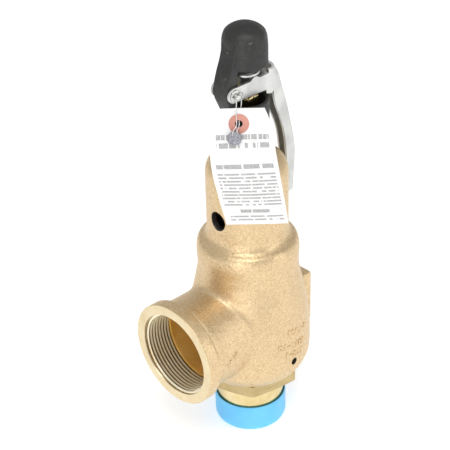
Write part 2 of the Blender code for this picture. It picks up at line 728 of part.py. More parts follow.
def make_stem():
    low = STEM_COLLAR_Z
    profile = [(0.0, STEM_TOP_Z), (STEM_R - STEM_CHAMFER, STEM_TOP_Z), (STEM_R, STEM_TOP_Z - STEM_CHAMFER),
               (STEM_R, low + STEM_COLLAR), (STEM_COLLAR_R, low + STEM_COLLAR), (STEM_COLLAR_R, low),
               (STEM_R, low),
               (STEM_R, STEM_FOOT_Z + STEM_R / 2), (STEM_R / 2, STEM_FOOT_Z), (0.0, STEM_FOOT_Z)]
    obj = spindle("stem", profile, SMALL_ROUND)
    smooth(obj)
    return finish(obj, STAINLESS)


# ---------------------------------------------------------------- spring and its steps
def make_lower_step():
    top = LOWER_STEP_Z + STEP_PLATE
    hub = SPRING_R - WIRE_R - RUNNING
    profile = [(hub, top + STEP_HUB), (hub, top), (STEP_R, top), (STEP_R, LOWER_STEP_Z),
               (STEM_R + GAP, LOWER_STEP_Z), (STEM_R + GAP, top + STEP_HUB)]
    obj = turned("lower_spring_step", profile)
    smooth(obj)
    return finish(obj, STEEL)


def make_upper_step():
    plate = UPPER_PLATE_Z
    hub = SPRING_R - WIRE_R - RUNNING
    crown = SCREW_TIP_R + 3 * MM
    profile = [(crown, UPPER_STEP_TOP_Z), (crown, plate + STEP_PLATE), (STEP_R, plate + STEP_PLATE),
               (STEP_R, plate),
               (hub, plate), (hub, plate - STEP_HUB), (STEM_R + RUNNING, plate - STEP_HUB),
               (STEM_R + RUNNING, UPPER_STEP_TOP_Z)]
    obj = turned("upper_spring_step", profile)
    smooth(obj)
    return finish(obj, STEEL)


def make_spring():
    """A compression coil; its first and last turns lie closed against the steps."""
    low = SPRING_FOOT_Z + WIRE_R
    high = SPRING_TOP_Z - WIRE_R
    count = round(SPRING_TURNS * SPRING_POINTS_PER_TURN)
    closed = 1.0 / SPRING_TURNS
    points = []
    for i in range(count + 1):
        part = i / count
        turn = math.tau * SPRING_TURNS * part
        rise = min(max((part - closed * 0.75) / (1.0 - 1.5 * closed), 0.0), 1.0)
        wire = 2.0 * WIRE_R * 1.06 / (high - low)
        start = min(part / (closed * 0.75), 1.0) * wire * 0.75
        end = min((1.0 - part) / (closed * 0.75), 1.0) * wire * 0.75
        height = start + (1.0 - 1.5 * wire) * rise + wire * 0.75 - end
        points.append(at_radius(SPRING_R, turn, low + (high - low) * height))
    obj = tube("spring", points, WIRE_R)
    smooth(obj, 50.0)
    return finish(obj, SPRING_STEEL)


# ---------------------------------------------------------------- compression screw and lock nut
SCREW_TOP_Z = BOSS_TOP_Z + SCREW_STANDOUT


def make_compression_screw():
    """The hollow screw that loads the spring, with a small hexagon on top."""
    foot = UPPER_STEP_TOP_Z + GAP
    bore = STEM_R + RUNNING
    neck = SCREW_TOP_Z - SCREW_HEAD
    head_r = SCREW_HEAD_FLATS / 2
    profile = [(bore + MM, SCREW_TOP_Z), (head_r, SCREW_TOP_Z), (head_r, neck),
               (SCREW_R, neck - 2 * MM), (SCREW_R, foot + SCREW_TIP), (SCREW_TIP_R, foot), (bore, foot),
               (bore, SCREW_TOP_Z - MM)]
    shank = turned("compression_screw", profile)
    head = hexagon("head", SCREW_HEAD_FLATS, neck, SCREW_TOP_Z, math.radians(30))
    core = cylinder("core", head_r - 2 * MM, (0, 0, neck - OVERCUT), (0, 0, SCREW_TOP_Z + OVERCUT))
    obj = join(shank, cut(head, core))
    smooth(obj)
    return finish(obj, MACHINED_BRASS)


def make_lock_nut():
    foot = BOSS_TOP_Z + GAP
    top = foot + LOCK_NUT_HEIGHT
    nut = hexagon("compression_lock_nut", LOCK_NUT_FLATS, foot, top)
    thread = cylinder("thread", SCREW_R + GAP, (0, 0, foot - OVERCUT), (0, 0, top + OVERCUT), ROUND)
    obj = cut(nut, thread)
    smooth(obj)
    return finish(obj, MACHINED_BRASS)


# ---------------------------------------------------------------- lever cap
def cap_screw_height():
    return CAP_FOOT_Z + CAP_SCREW_RISE


def make_cap():
    """Collar round the boss, a pillar at the front, and the hood that it carries."""
    collar = turned("lever_cap", [(COLLAR_R, COLLAR_TOP_Z), (COLLAR_R, CAP_FOOT_Z),
                                  (COLLAR_BORE_R, CAP_FOOT_Z), (COLLAR_BORE_R, COLLAR_TOP_Z)])
    inner = HOOD_R - HOOD_WALL
    corner = HOOD_CORNER - HOOD_WALL
    corner_z = HOOD_TOP_Z - HOOD_CORNER
    profile = [(0.0, HOOD_TOP_Z)] + arc(HOOD_R - HOOD_CORNER, corner_z, HOOD_CORNER, 90, 0, 6)
    profile += [(HOOD_R, HOOD_RIM_Z), (inner, HOOD_RIM_Z)]
    profile += arc(inner - corner, corner_z, corner, 0, 90, 5)
    profile.append((0.0, HOOD_TOP_Z - HOOD_WALL))
    hood = spindle("hood", profile)
    pillar = extruded("pillar", pillar_outline(), 2 * PILLAR_HALF_WIDTH)
    pillar.data.transform(upright_plane())
    pillar = cut(pillar, spindle("hood room", hood_room(inner)), collar_room(), pivot_hole())
    obj = join(collar, hood, pillar)
    holes = []
    for turn in CAP_SCREW_TURNS:
        z = cap_screw_height()
        holes.append(cylinder("hole", CAP_SCREW_R + GAP, at_radius(COLLAR_BORE_R - OVERCUT, turn, z),
                              at_radius(COLLAR_R + OVERCUT, turn, z), 16))
    obj = cut(obj, *holes)
    smooth(obj)
    return finish(obj, BLACK_IRON)


def upright_plane():
    """Takes an outline drawn as (y, z) into the upright plane through the valve's axis."""
    return Matrix(((0, 0, 1, 0), (1, 0, 0, 0), (0, 1, 0, 0), (0, 0, 0, 1)))


def pillar_outline():
    """Side view of the front pillar: hood flank, round nose at the pivot, then the collar."""
    nose = PILLAR_SKIN
    crest = HOOD_RIM_Z + PILLAR_CREST
    outline = [(-HOOD_R * 0.5, crest), (-HOOD_R + 0.4 * MM, crest - 2 * MM)]
    outline += [(-HOOD_R - 2.2 * MM, HOOD_RIM_Z + 10 * MM)]
    outline += arc(PIVOT_Y, PIVOT_Z + 3 * MM, nose, 165, 180, 2)
    outline += arc(PIVOT_Y, PIVOT_Z - 1 * MM, nose, 180, 205, 2)
    root = COLLAR_TOP_Z - PILLAR_ROOT
    outline += [(-COLLAR_R - 1.6 * MM, COLLAR_TOP_Z - 5 * MM), (-COLLAR_R + 0.6 * MM, root),
                (-COLLAR_R * 0.5, root), (-COLLAR_R * 0.5, COLLAR_TOP_Z - 2 * MM),
                (-PILLAR_INNER, COLLAR_TOP_Z - MM), (-PILLAR_INNER, HOOD_RIM_Z + MM),
                (-HOOD_R * 0.5, HOOD_RIM_Z + MM)]
    return outline


def hood_room(inner):
    """The space inside the hood, which the pillar leaves free."""
    return [(0.0, HOOD_TOP_Z - HOOD_WALL), (inner, HOOD_TOP_Z - HOOD_CORNER),
            (inner, COLLAR_TOP_Z + OVERCUT),
            (0.0, COLLAR_TOP_Z + OVERCUT)]


def collar_room():
    above = COLLAR_TOP_Z + 2 * OVERCUT
    return cylinder("collar room", COLLAR_BORE_R, (0, 0, CAP_FOOT_Z), (0, 0, above), ROUND)


def pivot_hole():
    reach = PILLAR_HALF_WIDTH + OVERCUT
    return cylinder("pivot hole", PIN_R + GAP, (-reach, PIVOT_Y, PIVOT_Z), (reach, PIVOT_Y, PIVOT_Z), 16)


def make_cap_screws():
    for number, turn in enumerate(CAP_SCREW_TURNS, 1):
        z = cap_screw_height()
        head = COLLAR_R - 0.4 * MM
        obj = cylinder("cap_set_screw_%d" % number, CAP_SCREW_R, (BOSS_R + GAP, 0, z), (head, 0, z), 16)
        slot = box("slot", (head - SLOT_DEPTH, -SLOT_WIDTH / 2, z - 2 * CAP_SCREW_R),
                   (head + OVERCUT, SLOT_WIDTH / 2, z + 2 * CAP_SCREW_R))
        obj = cut(obj, slot)
        obj.data.transform(Matrix.Rotation(turn, 4, "Z"))
        smooth(obj)
        finish(obj, STEEL)


# ---------------------------------------------------------------- lever
# Handle stations in millimetres: height above the pivot, outer line and inner edge as
# distances behind the collar, and how much each side is narrower than at the arms.
HANDLE_STATIONS = (
    (9.6, 8.6, -3.3, 0.0), (4.6, 11.8, -2.8, 0.0), (-1.0, 14.6, -1.8, 0.1), (-9.5, 17.4, 2.7, 1.0),
    (-19.0, 20.8, 5.2, 2.2), (-29.5, 24.5, 9.0, 3.5), (-44.0, 28.6, 15.4, 4.6),
    (-58.0, 32.2, 20.0, 5.2), (-76.0, 35.6, 22.6, 5.3), (-92.0, 35.2, 22.8, 5.3),
    (-106.0, 34.4, 22.6, 5.3), (-117.0, 33.8, 23.8, 5.6))
HANDLE_COLUMNS = 10
HANDLE_PROUD = 0.1 * MM     # handle's flanges outside the arms' faces


def channel_row(height, back, front, narrower):
    """One U-shaped section of the handle: two flanges and a round back, from -X to +X."""
    y_back = COLLAR_R + back * MM
    y_front = COLLAR_R + front * MM
    half = ARM_OUTER_X + HANDLE_PROUD - narrower * MM
    z = PIVOT_Z + height * MM
    row = [(-half, y_front, z)]
    for i in range(HANDLE_COLUMNS + 1):
        angle = math.pi * (1.0 - i / HANDLE_COLUMNS)
        row.append((half * math.cos(angle), y_back - half + half * math.sin(angle), z))
    row.append((half, y_front, z))
    return row


def make_handle():
    """The channel of the lever, lofted through its stations and given the sheet's thickness."""
    bm = bmesh.new()
    rows = [[bm.verts.new(p) for p in channel_row(*station)] for station in HANDLE_STATIONS]
    for upper, lower in zip(rows, rows[1:]):
        for i in range(len(upper) - 1):
            bm.faces.new((upper[i], upper[i + 1], lower[i + 1], lower[i]))
    bmesh.ops.recalc_face_normals(bm, faces=bm.faces)
    outward = sum((f.normal.y for f in bm.faces if abs(f.calc_center_median().x) < 2 * MM), 0.0)
    if outward < 0:
        bmesh.ops.reverse_faces(bm, faces=bm.faces)
    obj = object_from("handle", bm)
    solid = obj.modifiers.new("sheet", "SOLIDIFY")
    solid.thickness = ARM_THICKNESS + 2 * HANDLE_PROUD
    solid.offset = -1.0
    solid.use_even_offset = True
    return as_mesh(obj)


def arm_outline():
    """Side view of one arm, as (y, z): hub, top edge with the lifting bump, root and tooth."""
    top = ARM_TOP_Z
    outline = arc(PIVOT_Y, PIVOT_Z, HUB_R, 255, 68, 9)
    bump = top + BUMP_RISE
    outline += [(-4.0 * MM, top), (-1.2 * MM, bump - 0.7 * MM), (0.6 * MM, bump), (2.8 * MM, bump),
                (4.8 * MM, top + 1.2 * MM), (6.6 * MM, top)]
    for behind, drop in ((-2.2, -6.6), (1.3, -8.8), (2.8, 2.0), (3.4, 10.0), (0.3, 12.6), (-3.0, 11.6),
                         (-5.6, 10.8), (-6.0, 7.4)):
        outline.append((COLLAR_R + behind * MM, PIVOT_Z - drop * MM))
    return outline


def make_lever():
    """One stamped channel: two arms from the pivot, a bend, and the handle down the back."""
    obj = make_handle()
    for side in (-1, 1):
        arm = extruded("arm", arm_outline(), ARM_THICKNESS)
        middle_x = side * (ARM_INNER_X + ARM_THICKNESS / 2)
        arm.data.transform(Matrix.Translation((middle_x, 0, 0)) @ upright_plane())
        hole = cylinder("hole", PIN_R + GAP, (side * (ARM_INNER_X - OVERCUT), PIVOT_Y, PIVOT_Z),
                        (side * (ARM_OUTER_X + OVERCUT), PIVOT_Y, PIVOT_Z), 16)
        obj = join(obj, cut(arm, hole))
    smooth(obj)
    obj.name = "lever"
    set_origin(obj, (0, PIVOT_Y, PIVOT_Z))
    return finish(obj, STEEL)


# ---------------------------------------------------------------- pivot pin, washers and cotter
WASHER_X = ARM_OUTER_X + GAP
PIN_END_X = WASHER_X + WASHER_THICKNESS + PIN_STANDOUT
COTTER_X = WASHER_X + WASHER_THICKNESS + GAP + COTTER_R + 0.3 * MM


def make_pivot():
    head_x = -WASHER_X - GAP
    pin = cylinder("pivot_pin", PIN_R, (head_x - MM, PIVOT_Y, PIVOT_Z), (PIN_END_X, PIVOT_Y, PIVOT_Z), 20)
    head = cylinder("head", PIN_HEAD_R, (head_x - PIN_HEAD, PIVOT_Y, PIVOT_Z),
                    (head_x, PIVOT_Y, PIVOT_Z), 20)
    hole = cylinder("hole", COTTER_R + GAP, (COTTER_X, PIVOT_Y - 2 * PIN_R, PIVOT_Z),
                    (COTTER_X, PIVOT_Y + 2 * PIN_R, PIVOT_Z), 12)
    obj = cut(join(pin, head), hole)
    smooth(obj)
    finish(obj, STEEL)
    washer = cylinder("pivot_washer", WASHER_R, (WASHER_X, PIVOT_Y, PIVOT_Z),
                      (WASHER_X + WASHER_THICKNESS, PIVOT_Y, PIVOT_Z), 20)
    bore = cylinder("bore", PIN_R + GAP, (WASHER_X - OVERCUT, PIVOT_Y, PIVOT_Z),
                    (WASHER_X + WASHER_THICKNESS + OVERCUT, PIVOT_Y, PIVOT_Z), 20)
    washer = cut(washer, bore)
    smooth(washer)
    finish(washer, STEEL)


def make_cotter():
    """A bent wire through the pin: an eye on the lever's side and a leg through the hole."""
    eye_y = PIVOT_Y + PIN_R + GAP + COTTER_EYE_R + 0.6 * MM
    leg = PIN_R + COTTER_LEG * 0.3
    points = [(COTTER_X, PIVOT_Y - leg, PIVOT_Z), (COTTER_X, PIVOT_Y, PIVOT_Z),
              (COTTER_X, eye_y - COTTER_EYE_R, PIVOT_Z)]
    for i in range(1, 8):
        angle = math.radians(180 - 40 * i)
        points.append((COTTER_X + 0.05 * MM * i, eye_y + COTTER_EYE_R * math.cos(angle),
                       PIVOT_Z + COTTER_EYE_R * math.sin(angle)))
    obj = tube("cotter_pin", points, COTTER_R)
    smooth(obj, 50.0)
    return finish(obj, STAINLESS)


# ---------------------------------------------------------------- lifting washer and nuts
LIFT_WASHER_Z = ARM_TOP_Z + BUMP_RISE + LIFT_GAP
LIFT_NUT_Z = LIFT_WASHER_Z + LIFT_WASHER + GAP
JAM_NUT_Z = LIFT_NUT_Z + LIFT_NUT + GAP
STEM_TOP_Z = JAM_NUT_Z + JAM_NUT + STEM_TOP_STANDOUT


def threaded_nut(name, flats, low, height):
    nut = hexagon(name, flats, low, low + height, math.radians(10))
    bore = cylinder("bore", STEM_R + GAP, (0, 0, low - OVERCUT), (0, 0, low + height + OVERCUT))
    obj = cut(nut, bore)
    smooth(obj)
    return finish(obj, STEEL)


def make_lift_hardware():
    inner = STEM_R + GAP
    low = LIFT_WASHER_Z
    high = LIFT_WASHER_Z + LIFT_WASHER
    profile = [(LIFT_WASHER_R, high), (LIFT_WASHER_R, low), (inner, low), (inner, high)]
    obj = turned("lifting_washer", profile, SMALL_ROUND)
    smooth(obj)
    finish(obj, STEEL)
    threaded_nut("lifting_nut", LIFT_NUT_FLATS, LIFT_NUT_Z, LIFT_NUT)
    threaded_nut("lifting_jam_nut", LIFT_NUT_FLATS, JAM_NUT_Z, JAM_NUT)


# ---------------------------------------------------------------- tag, seal and seal wire
TAG_TURN = math.radians(46.84)      # the way the tag faces, from -Y towards +X
TAG_THICKNESS = 0.5 * MM
TAG_HOLE_R = 3.3 * MM
TAG_HOLE = (-0.6, -22.3)             # (across, height)
SEAL_R = 6.2 * MM
SEAL_THICKNESS = 3.6 * MM
SEAL_PLACE = (5.7, -4.3, -32.5)      # (out, across, height)
SEAL_LEAN = math.radians(14.0)
SEAL_WIRE_R = 0.42 * MM
# Places on the tag's side are in millimetres from the pivot pin's end: out towards that side,
# across it and up. The upper rows hang from the wire, each (height, out, left, right); the lower
# ones lie against the neck, and their distance is out from it.
HANGING_ROWS = (
    (-9.9, -1.7, -15.8, 19.8), (-20.9, 0.5, -22.7, 24.4), (-35.9, 3.3, -23.9, 26.9),
    (-49.9, 5.9, -23.9, 28.9))
RESTING_ROWS = (
    (-64.9, -0.1, -22.1, 31.3), (-78.9, 1.7, -19.1, 33.5), (-92.9, 2.7, -15.9, 35.7),
    (-108.4, 3.3, -12.1, 37.9))
TAG_COLUMNS = 4
# The two strands of the seal wire, each point as (out, across, height).
FRONT_STRAND = (
    (-1.3, -1.9, -3.3), (-0.9, -2.2, -6.3), (-0.1, -2.5, -9.9), (0.9, -2.5, -13.9),
    (1.9, -2.3, -18.3), (3.1, -2.5, -22.1), (4.5, -3.7, -24.6), (5.6, -5.1, -25.8))
BACK_STRAND = (
    (-4.1, 1.9, -3.7), (-3.8, 1.7, -6.9), (-3.4, 1.3, -10.3), (-2.6, 0.7, -14.3),
    (-1.7, 0.3, -18.1), (-0.5, -0.1, -20.7), (1.5, -0.4, -22.7), (3.3, -0.9, -24.3),
    (5.2, -2.1, -25.6))
FACING = Vector((math.sin(TAG_TURN), -math.cos(TAG_TURN), 0))
SIDEWAYS = Vector((math.cos(TAG_TURN), math.sin(TAG_TURN), 0))
PIN_END = Vector((PIN_END_X, PIVOT_Y, PIVOT_Z))


def tag_point(out, across, height):
    """A place given from the pivot pin's end: towards the tag's side, across it and up, in mm."""
    return PIN_END + (FACING * out + SIDEWAYS * across + Vector((0, 0, height))) * MM


def make_tag():
    """A card tag with cut upper corners, bent a little where it lies over the neck."""
    bm = bmesh.new()
    neck = (NECK_R - PIN_END.dot(FACING)) / MM
    rows = []
    resting = tuple((height, neck + out, left, right) for height, out, left, right in RESTING_ROWS)
    for height, out, left, right in HANGING_ROWS + resting:
        rows.append([bm.verts.new(tag_point(out, left + (right - left) * i / TAG_COLUMNS, height))
                     for i in range(TAG_COLUMNS + 1)])
    for upper, lower in zip(rows, rows[1:]):
        for i in range(TAG_COLUMNS):
            bm.faces.new((upper[i], lower[i], lower[i + 1], upper[i + 1]))
    obj = object_from("tag", bm)
    sheet = obj.modifiers.new("card", "SOLIDIFY")
    sheet.thickness = TAG_THICKNESS
    sheet.offset = 0.0
    obj = as_mesh(obj)
    across, height = TAG_HOLE
    obj = cut(obj, cylinder("hole", TAG_HOLE_R, tag_point(-6.0, across, height - 1.5),
                            tag_point(8.0, across, height + 1.5), 16))
    smooth(obj)
    return finish(obj, PAPER)


def make_seal():
    half = SEAL_THICKNESS / 2
    profile = [(0.0, half), (SEAL_R - MM, half), (SEAL_R, half / 2), (SEAL_R, -half / 2),
               (SEAL_R - MM, -half), (0.0, -half)]
    obj = spindle("lead_seal", profile, SMALL_ROUND)
    facing = Matrix.Rotation(TAG_TURN, 4, "Z") @ Matrix.Rotation(math.radians(90) - SEAL_LEAN, 4, "X")
    obj.data.transform(Matrix.Translation(tag_point(*SEAL_PLACE)) @ facing)
    smooth(obj)
    return finish(obj, LEAD)


def make_seal_wire():
    for name, strand in (("seal_wire_front", FRONT_STRAND), ("seal_wire_back", BACK_STRAND)):
        obj = tube(name, smooth_route([tag_point(*place) for place in strand], 18), SEAL_WIRE_R)
        smooth(obj, 50.0)
        finish(obj, STAINLESS)


# ---------------------------------------------------------------- the whole valve
make_body()
make_nozzle()
make_thread_protector()
make_nameplate()
make_drive_screws()
make_regulator_ring()
make_ring_set_screw()
make_disc()
make_disc_clip()
make_disc_holder()
make_guide()
make_stem()
make_lower_step()
make_spring()
make_upper_step()
make_compression_screw()
make_lock_nut()
make_cap()
make_cap_screws()
make_lever()
make_pivot()
make_cotter()
make_lift_hardware()
make_tag()
make_seal()
make_seal_wire()
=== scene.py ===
"""Pressure relief valve: cast bronze body, threaded outlet, hexagon inlet, lever cap, tag and seal."""

import math

import bmesh
import bpy
from mathutils import Matrix, Vector


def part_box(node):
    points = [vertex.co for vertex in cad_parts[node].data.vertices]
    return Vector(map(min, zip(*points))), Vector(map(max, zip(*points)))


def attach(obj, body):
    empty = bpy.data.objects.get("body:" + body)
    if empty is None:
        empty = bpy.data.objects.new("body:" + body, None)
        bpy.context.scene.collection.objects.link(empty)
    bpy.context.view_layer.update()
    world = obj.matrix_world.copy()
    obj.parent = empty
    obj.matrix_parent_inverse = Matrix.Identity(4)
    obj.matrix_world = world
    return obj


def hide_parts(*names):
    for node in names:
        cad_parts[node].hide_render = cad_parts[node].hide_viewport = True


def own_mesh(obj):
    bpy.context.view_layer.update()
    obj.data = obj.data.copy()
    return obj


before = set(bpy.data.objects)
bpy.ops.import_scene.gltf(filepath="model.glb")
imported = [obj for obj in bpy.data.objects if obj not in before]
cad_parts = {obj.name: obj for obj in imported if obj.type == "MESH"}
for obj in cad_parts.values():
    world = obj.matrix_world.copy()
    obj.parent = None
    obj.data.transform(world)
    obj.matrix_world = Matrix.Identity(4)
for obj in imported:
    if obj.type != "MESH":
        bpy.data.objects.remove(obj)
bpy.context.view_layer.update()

MM = 0.001
VALVE_BODY = "valve_body"
LIFT_GROUP = "lift_group"


# ---------- working in edit mode
def activate(obj):
    bpy.ops.object.select_all(action="DESELECT")
    obj.select_set(True)
    bpy.context.view_layer.objects.active = obj


def enter(obj):
    activate(obj)
    bpy.ops.object.mode_set(mode="EDIT")
    bpy.ops.mesh.select_all(action="DESELECT")


def leave():
    bpy.ops.object.mode_set(mode="OBJECT")


def pick_all():
    bpy.ops.mesh.select_all(action="SELECT")


def extrude(by):
    bpy.ops.mesh.extrude_region_move(TRANSFORM_OT_translate={"value": by})


def added(name):
    """Names the primitive that was just added and puts its origin at the world's."""
    obj = bpy.context.object
    obj.name = name
    bpy.ops.object.transform_apply(location=True, rotation=True, scale=True)
    return obj


def place(obj, matrix):
    """Moves or turns a piece for good."""
    activate(obj)
    obj.matrix_world = matrix
    bpy.ops.object.transform_apply(location=True, rotation=True, scale=True)
    return obj


def turned(degrees, axis):
    return Matrix.Rotation(math.radians(degrees), 4, axis)


def moved(x, y, z):
    """A move, in mm."""
    return Matrix.Translation(Vector((x, y, z)) * MM)


def select_verts(obj, wanted):
    """In edit mode, selects the vertices whose place passes the test."""
    bm = bmesh.from_edit_mesh(obj.data)
    bpy.context.tool_settings.mesh_select_mode = (True, False, False)
    bm.select_mode = {"VERT"}
    for vert in bm.verts:
        vert.select = bool(wanted(vert.co))
    bm.select_flush_mode()
    bmesh.update_edit_mesh(obj.data)


def close_up():
    """In edit mode, merges what meets and turns all faces outwards."""
    pick_all()
    bpy.ops.mesh.remove_doubles(threshold=0.002 * MM)
    bpy.ops.mesh.normals_make_consistent(inside=False)


def shape(obj, kind, **settings):
    """Adds a modifier with these settings and applies it."""
    activate(obj)
    modifier = obj.modifiers.new(kind.lower(), kind)
    for key, value in settings.items():
        setattr(modifier, key, value)
    bpy.ops.object.modifier_apply(modifier=modifier.name)
    return obj


def soften(obj, width, segments=2, angle=35):
    """Rounds every edge that is sharper than the angle."""
    return shape(obj, "BEVEL", width=width, segments=segments, limit_method="ANGLE",
        angle_limit=math.radians(angle), harden_normals=False)


def smooth(obj, angle=35):
    activate(obj)
    bpy.ops.object.shade_smooth_by_angle(angle=math.radians(angle))
    return obj


def merge(obj, other, how):
    shape(obj, "BOOLEAN", operation=how, solver="EXACT", object=other, material_mode="TRANSFER")
    bpy.data.objects.remove(other, do_unlink=True)
    return obj


def join(obj, *others):
    for other in others:
        merge(obj, other, "UNION")
    return obj


def cut(obj, *others):
    for other in others:
        merge(obj, other, "DIFFERENCE")
    return obj


def gather(name, pieces):
    """Makes loose pieces one object."""
    activate(pieces[0])
    for piece in pieces:
        piece.select_set(True)
    bpy.ops.object.join()
    pieces[0].name = name
    return pieces[0]


def face_out(sheet, out):
    """Turns an open sheet's faces towards a direction."""
    enter(sheet)
    pick_all()
    bm = bmesh.from_edit_mesh(sheet.data)
    if sum(face.normal.dot(out) for face in bm.faces) < 0:
        bpy.ops.mesh.flip_normals()
    leave()


def melt(obj, nearness, gain, iterations):
    """Smooths a remeshed piece where its parts run together, and a touch all over."""
    group = obj.vertex_groups.new(name="fillets")
    for vert in obj.data.vertices:
        weight = nearness(vert.co)
        if weight > 0:
            group.add([vert.index], min(weight * gain, 1), "REPLACE")
    shape(obj, "SMOOTH", factor=0.5, iterations=iterations, vertex_group="fillets")
    shape(obj, "SMOOTH", factor=0.5, iterations=2)


def ripple(obj, name, scale, strength):
    """Gives a casting the soft waves of its mould, in mm."""
    waves = bpy.data.textures.new(name, "CLOUDS")
    waves.noise_scale = scale * MM
    shape(obj, "DISPLACE", texture=waves, texture_coords="LOCAL", strength=strength * MM, mid_level=1)


# ---------- ways to make a piece
def draw(name, points, close=False):
    """Starts at one vertex and extrudes it from point to point. Leaves the piece in edit mode."""
    bpy.ops.object.select_all(action="DESELECT")
    bpy.ops.mesh.primitive_plane_add(size=MM)
    obj = added(name)
    bpy.ops.object.mode_set(mode="EDIT")
    pick_all()
    bpy.ops.mesh.merge(type="CENTER")
    bpy.ops.transform.translate(value=points[0])
    for a, b in zip(points, points[1:]):
        extrude(Vector(b) - Vector(a))
    if close:
        ends = (Vector(points[0]), Vector(points[-1]))
        select_verts(obj, lambda co: min((co - end).length for end in ends) < 0.001 * MM)
        bpy.ops.mesh.edge_face_add()
    return obj


def round_corners(obj, corners, segments=4):
    """In edit mode, rounds the drawn corners; each corner is (place, radius)."""
    for corner, radius in corners:
        select_verts(obj, lambda co: (co - corner).length < 0.001 * MM)
        bpy.ops.mesh.bevel(offset=radius, segments=segments, affect="VERTICES")


def lathe(name, profile, steps=96, close=False, segments=4):
    """Spins a profile round Z. Its points are (radius, height) or (radius, height, rounding), in mm."""
    points = [Vector((p[0] * MM, 0, p[1] * MM)) for p in profile]
    obj = draw(name, points, close)
    round_corners(obj, [(co, p[2] * MM) for co, p in zip(points, profile) if len(p) > 2], segments)
    pick_all()
    bpy.ops.mesh.spin(steps=steps, angle=math.tau, center=(0, 0, 0), axis=(0, 0, 1))
    close_up()
    leave()
    return smooth(obj)


def plate(name, outline, thickness, segments=4):
    """An outline of (u, v) or (u, v, rounding) points in mm, filled and extruded both ways along Z."""
    points = [Vector((p[0] * MM, p[1] * MM, -thickness * MM / 2)) for p in outline]
    obj = draw(name, points, True)
    round_corners(obj, [(co, p[2] * MM) for co, p in zip(points, outline) if len(p) > 2], segments)
    pick_all()
    bpy.ops.mesh.edge_face_add()
    extrude((0, 0, thickness * MM))
    close_up()
    leave()
    return obj


def block(name, low, high):
    """A box between two corners, in mm."""
    size = Vector(high) - Vector(low)
    middle = (Vector(high) + Vector(low)) / 2
    bpy.ops.mesh.primitive_cube_add(size=1, location=middle * MM, scale=size * MM)
    return added(name)


def bar(name, radius, start, end, sides=48):
    """A round bar between two points, in mm."""
    start = Vector(start) * MM
    end = Vector(end) * MM
    turn = Vector((0, 0, 1)).rotation_difference((end - start).normalized())
    bpy.ops.mesh.primitive_cylinder_add(vertices=sides, radius=radius * MM, depth=(end - start).length,
        location=(start + end) / 2, rotation=turn.to_euler())
    return added(name)


def wrench_bar(name, flats, low, high, turn=0, chamfer=1.2, chamfer_low=True, chamfer_high=True):
    """A hexagonal bar with its corners turned off at the ends; turn is where a corner points."""
    corner = flats / math.sqrt(3)
    bpy.ops.mesh.primitive_cylinder_add(vertices=6, radius=corner * MM, depth=(high - low) * MM,
        location=(0, 0, (low + high) / 2 * MM), rotation=(0, 0, math.radians(turn - 30)))
    obj = added(name)
    inset = corner - flats / 2 + 0.4
    bottom = [(corner + 1, low - chamfer * 0.5)]
    if chamfer_low:
        bottom = [(corner + 1, low + chamfer * (inset + 1) / inset), (corner - inset, low)]
    top = [(corner + 1, high + chamfer * 0.5)]
    if chamfer_high:
        top = [(corner - inset, high), (corner + 1, high - chamfer * (inset + 1) / inset)]
    blank = lathe("blank", [(0, high + 1), (top[0][0], high + 1)] + top + bottom
        + [(bottom[-1][0], low - 1), (0, low - 1)], 96)
    return merge(obj, blank, "INTERSECT")


def thread(name, root, crest, pitch, low, high, steps=72, wide=0.46):
    """A helical ridge round Z from a root radius to a crest radius, faded into its wall at both ends."""
    half = pitch * wide
    tip = pitch * 0.09
    sink = root + (0.35 if crest < root else -0.35)
    section = [(sink, low - half), (crest, low - tip), (crest, low + tip), (sink, low + half)]
    obj = draw(name, [Vector((r * MM, 0, z * MM)) for r, z in section], True)
    leave()
    turns = (high - low) / pitch
    shape(obj, "SCREW", angle=math.tau * turns, screw_offset=(high - low) * MM, steps=round(steps * turns),
        render_steps=round(steps * turns), axis="Z", use_smooth_shade=False)
    fade = pitch * 0.6 * MM
    for vert in obj.data.vertices:
        radius = math.hypot(vert.co.x, vert.co.y)
        ends = min(vert.co.z - (low * MM - half * MM), (high + half) * MM - vert.co.z) / fade
        if ends < 1:
            wanted = sink * MM + (radius - sink * MM) * max(ends, 0)
            vert.co.x *= wanted / radius
            vert.co.y *= wanted / radius
    enter(obj)
    bpy.ops.mesh.select_non_manifold()
    bpy.ops.mesh.fill_holes(sides=6)
    close_up()
    leave()
    return smooth(obj, 50)


# ---------- node building
def add(tree, kind, sockets=None, **settings):
    """Adds a node; a socket's value is a number, a colour or another node's output."""
    made = tree.nodes.new(kind)
    for key, value in settings.items():
        setattr(made, key, value)
    for key, value in (sockets or {}).items():
        if isinstance(value, bpy.types.NodeSocket):
            tree.links.new(value, made.inputs[key])
        else:
            made.inputs[key].default_value = value
    return made


def maths(tree, operation, a, b=0, clamp=False):
    return add(tree, "ShaderNodeMath", {0: a, 1: b}, operation=operation, use_clamp=clamp).outputs[0]


def times(tree, a, b):
    return maths(tree, "MULTIPLY", a, b)


def plus(tree, a, b):
    return maths(tree, "ADD", a, b)


def minus(tree, a, b):
    return maths(tree, "SUBTRACT", a, b)


def noise(tree, vector, scale, detail=3, roughness=0.5, distortion=0):
    return add(tree, "ShaderNodeTexNoise", {"Vector": vector, "Scale": scale, "Detail": detail,
        "Roughness": roughness, "Distortion": distortion}).outputs["Fac"]


def stretched(tree, vector, scale):
    return add(tree, "ShaderNodeMapping", {"Vector": vector, "Scale": scale}).outputs["Vector"]


def spread(tree, value, low, high, to_low=0, to_high=1):
    """Maps a range of values onto another, clamped."""
    return add(tree, "ShaderNodeMapRange", {"Value": value, "From Min": low, "From Max": high, "To Min": to_low,
        "To Max": to_high}).outputs["Result"]


